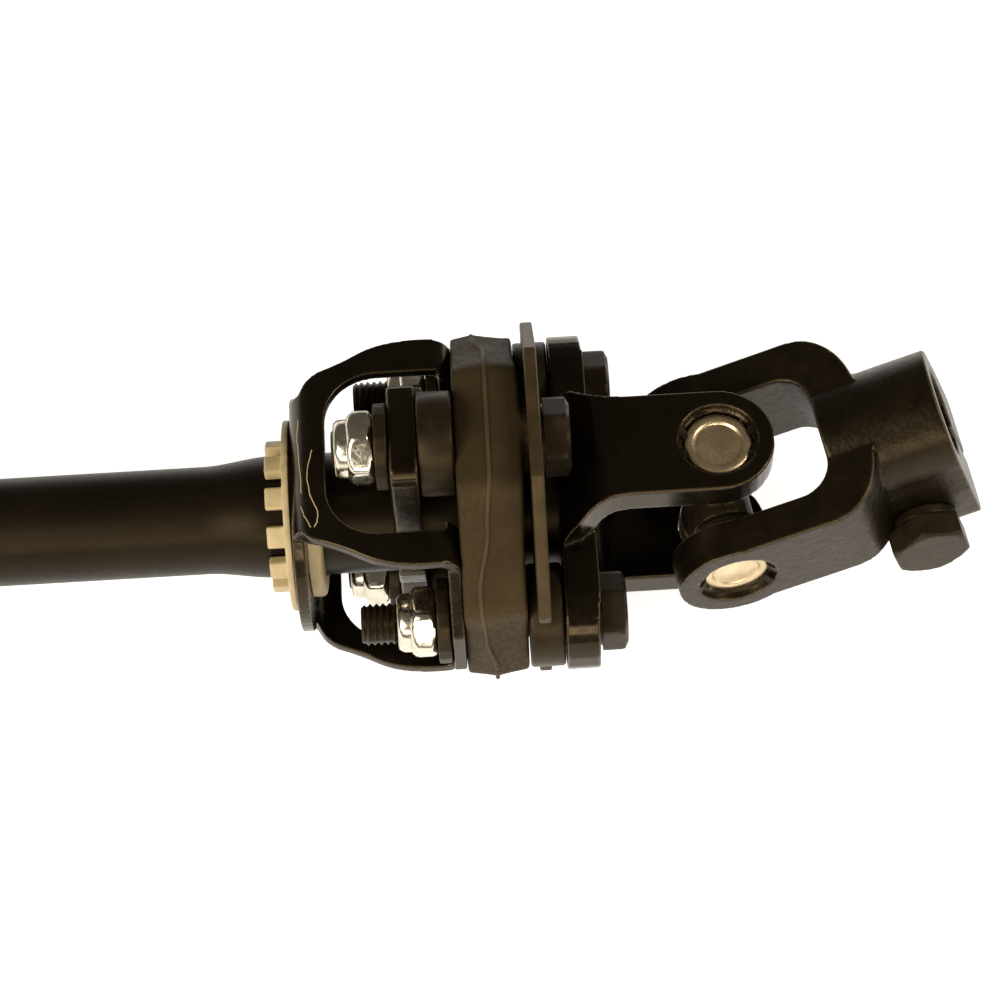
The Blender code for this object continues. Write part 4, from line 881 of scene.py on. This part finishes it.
def make_clamp_yoke():
    """The near clamp yoke as forged: straight arms, a flat-bottomed fork, a stout barrel and pinch ears."""
    outer, inner = FORGED_EAR_OUTER, FORGED_EAR_OUTER - YOKE_WALL
    root = BARREL_RADIUS / 2
    skin = [(-YOKE_EAR, outer)]
    shoulder_steps = 16
    for step in range(shoulder_steps + 1):
        angle = math.pi / 2 * step / shoulder_steps
        skin.append((FORK_DEPTH - FORK_SHOULDER + (FORK_END - FORK_DEPTH + FORK_SHOULDER) * math.sin(angle),
                     root + (outer - root) * math.cos(angle)))
    rim = [(-YOKE_EAR, inner)] + arc((FORK_DEPTH - FORK_CORNER, inner - FORK_CORNER), FORK_CORNER, 90, 0, 12)
    outline = both_sides(skin) + [(a, -b) for a, b in rim] + rim[::-1]
    fork = prism(outline, -2 * YOKE_EAR, 2 * YOKE_EAR, (0, 1, 2))
    side_view = (arc((0, 0), YOKE_EAR, 172, 68, 24)
                 + [(2 * FORK_END, YOKE_HALF_DEPTH), (2 * FORK_END, -YOKE_HALF_DEPTH)]
                 + arc((0, 0), YOKE_EAR, -68, -172, 24))
    rounding = arc((PINCH_CORNER - PINCH_DEPTH, PINCH_HALF - PINCH_CORNER), PINCH_CORNER, 90, 180, 8)
    ears = both_sides([(0, BARREL_RADIUS), (-PINCH_FLARE, PINCH_HALF)] + rounding)
    pinch = Vector((YOKE_LENGTH - PINCH_BOLT_BACK, 0, -PINCH_BOLT_DOWN))
    pinch_hole = circle((pinch.x, pinch.z), BOLT_DIAMETER / 2 + PLAY)
    slot_start, slot_end = YOKE_LENGTH - SLOT_LENGTH, 2 * YOKE_LENGTH
    slot = [(slot_start, -2 * PINCH_DEPTH), (slot_end, -2 * PINCH_DEPTH), (slot_end, 0), (slot_start, 0)]
    far, lap = 2 * outer, 0.1 * MM
    steps = [("INTERSECT", prism(side_view, -far, far, (0, 2, 1))),
             ("UNION", prism(circle((0, 0), BARREL_RADIUS), FORK_DEPTH + lap, YOKE_LENGTH, (1, 2, 0))),
             ("UNION", prism([(b, a) for a, b in ears], YOKE_LENGTH - PINCH_LENGTH, YOKE_LENGTH, (1, 2, 0))),
             ("DIFFERENCE", prism(circle((0, 0), BARREL_BORE), 0, 2 * YOKE_LENGTH, (1, 2, 0))),
             ("DIFFERENCE", prism(slot, -SLOT_HALF, SLOT_HALF, (0, 2, 1))),
             ("DIFFERENCE", prism(pinch_hole, -far, far, (0, 2, 1))),
             ("DIFFERENCE", prism(circle((0, 0), CUP_RADIUS + PLAY), -far, far, (0, 2, 1)))]
    recess = outer - CUP_SINK
    for low, high in ((recess, far), (-far, -recess)):
        steps.append(("DIFFERENCE", prism(circle((0, 0), RECESS_RADIUS), low, high, (0, 2, 1))))
    piece, tools = carve(fork, steps)
    refine(piece, YOKE_VOXEL, YOKE_ROUNDS)
    mesh = evaluated(piece)
    for item in [piece] + tools:
        bpy.data.objects.remove(item)
    pivot = Vector(JOINTS["near_joint_second"]["pos_m"])
    axis = Vector(JOINTS["near_joint_second"]["axis"])
    cross_turn = math.atan2(-axis.x, axis.y)
    mesh.transform(Matrix.Translation(pivot) @ Matrix.Rotation(cross_turn, 4, "Z")
                   @ Matrix.Rotation(NEAR_YOKE_TURN, 4, "Y"))
    add_piece("near_clamp_yoke_forged", mesh, "cast_black", "near_clamp_body", ("near_clamp_yoke",))


make_bolts()
make_nuts()
make_sleeves()
make_tube()
make_cups()
make_lands()
make_bushing()
make_stop_plate()
make_disc()
make_clamp_yoke()


# Floor, light and camera

# The floor's half width in metres, its grey, and its glow towards the camera; then the sky
FLOOR_HALF, FLOOR_GREY, FLOOR_GLOW = 40, 0.80, 0.78
SKY_COLOUR, SKY_STRENGTH = (1.0, 0.90, 0.74), 0.12

LAMP_COLOUR = (1.0, 0.90, 0.76)

# The lamps: name, place, target, size in metres and power in watts
LAMPS = (("key", (-0.62, -0.50, 0.62), (-0.02, 0, 0.04), (0.45, 0.45), 7.5),
         ("strip", (0.05, -0.90, 0.46), (0, 0, 0.04), (1.1, 0.15), 4.5),
         ("side", (0.72, -0.10, 0.66), (0.02, 0, 0.04), (0.35, 0.35), 4.0))


def seen_directly(nodes, links):
    """One for rays from the camera, from gloss and from glass, nought for the light on the object."""
    seen = nodes.new("ShaderNodeLightPath")
    value = seen.outputs["Is Camera Ray"]
    for ray in ("Is Glossy Ray", "Is Transmission Ray"):
        either = nodes.new("ShaderNodeMath")
        either.operation = "MAXIMUM"
        links.new(value, either.inputs[0])
        links.new(seen.outputs[ray], either.inputs[1])
        value = either.outputs[0]
    return value


def make_floor():
    """A white floor that still takes the object's shadow."""
    half = FLOOR_HALF
    mesh = bpy.data.meshes.new("floor")
    mesh.from_pydata([(-half, -half, 0), (half, -half, 0), (half, half, 0), (-half, half, 0)], [],
                     [(0, 1, 2, 3)])
    floor = linked("floor", mesh)
    material, nodes, links, shader = node_tree("floor_white")
    shader.inputs["Base Color"].default_value = (FLOOR_GREY, FLOOR_GREY, FLOOR_GREY, 1)
    shader.inputs["Roughness"].default_value = 0.9
    shader.inputs["Specular IOR Level"].default_value = 0.1
    glow = nodes.new("ShaderNodeEmission")
    glow.inputs["Strength"].default_value = FLOOR_GLOW
    off = nodes.new("ShaderNodeEmission")
    off.inputs["Strength"].default_value = 0.0
    pick = nodes.new("ShaderNodeMixShader")
    links.new(seen_directly(nodes, links), pick.inputs[0])
    links.new(off.outputs[0], pick.inputs[1])
    links.new(glow.outputs[0], pick.inputs[2])
    both = nodes.new("ShaderNodeAddShader")
    links.new(shader.outputs[0], both.inputs[0])
    links.new(pick.outputs[0], both.inputs[1])
    links.new(both.outputs[0], nodes["Material Output"].inputs["Surface"])
    floor.data.materials.append(material)


def make_world():
    """A dim, warm, even sky: the pale background is the floor's own."""
    world = bpy.data.worlds.new("studio")
    world.use_nodes = True
    sky = world.node_tree.nodes["Background"]
    sky.inputs["Color"].default_value = (*SKY_COLOUR, 1)
    sky.inputs["Strength"].default_value = SKY_STRENGTH
    bpy.context.scene.world = world


def add_light(name, place, target, size, power):
    """A soft lamp that faces its target."""
    data = bpy.data.lights.new(name, "AREA")
    data.shape = "RECTANGLE"
    data.size, data.size_y = size
    data.energy = power
    data.color = LAMP_COLOUR
    light = linked(name, data)
    light.location = place
    light.rotation_euler = (Vector(target) - Vector(place)).to_track_quat("-Z", "Y").to_euler()


# The camera, fitted to the photograph; the focal length is in pixels of the frame
FRAME_PIXELS = 1000
SENSOR_WIDTH = 36
FOCAL_PIXELS = 3200
CAMERA_DISTANCE = 756.3 * MM
CAMERA_TARGET = Vector((-8.5, 0.95, 42.2)) * MM
CAMERA_AZIMUTH = math.radians(-0.5)
CAMERA_ELEVATION = math.radians(61.16)
CAMERA_ROLL = math.radians(-2.9)


def camera_place():
    """Where the camera stands and how it is turned."""
    away = Vector((math.sin(CAMERA_AZIMUTH) * math.cos(CAMERA_ELEVATION),
                   -math.cos(CAMERA_AZIMUTH) * math.cos(CAMERA_ELEVATION), math.sin(CAMERA_ELEVATION)))
    look = (-away).to_track_quat("-Z", "Y").to_matrix().to_4x4()
    return (Matrix.Translation(CAMERA_TARGET + CAMERA_DISTANCE * away) @ look
            @ Matrix.Rotation(CAMERA_ROLL, 4, "Z"))


def make_camera():
    """The camera that the picture is taken from."""
    data = bpy.data.cameras.new("camera")
    data.sensor_width = SENSOR_WIDTH
    data.lens = SENSOR_WIDTH * FOCAL_PIXELS / FRAME_PIXELS
    data.clip_start = 0.01
    camera = linked("camera", data)
    camera.matrix_world = camera_place()
    bpy.context.scene.camera = camera


make_cracks_and_edge_highlight(make_cage())
make_floor()
make_world()
for lamp in LAMPS:
    add_light(*lamp)
make_camera()
bpy.context.scene.view_settings.view_transform = "Standard"
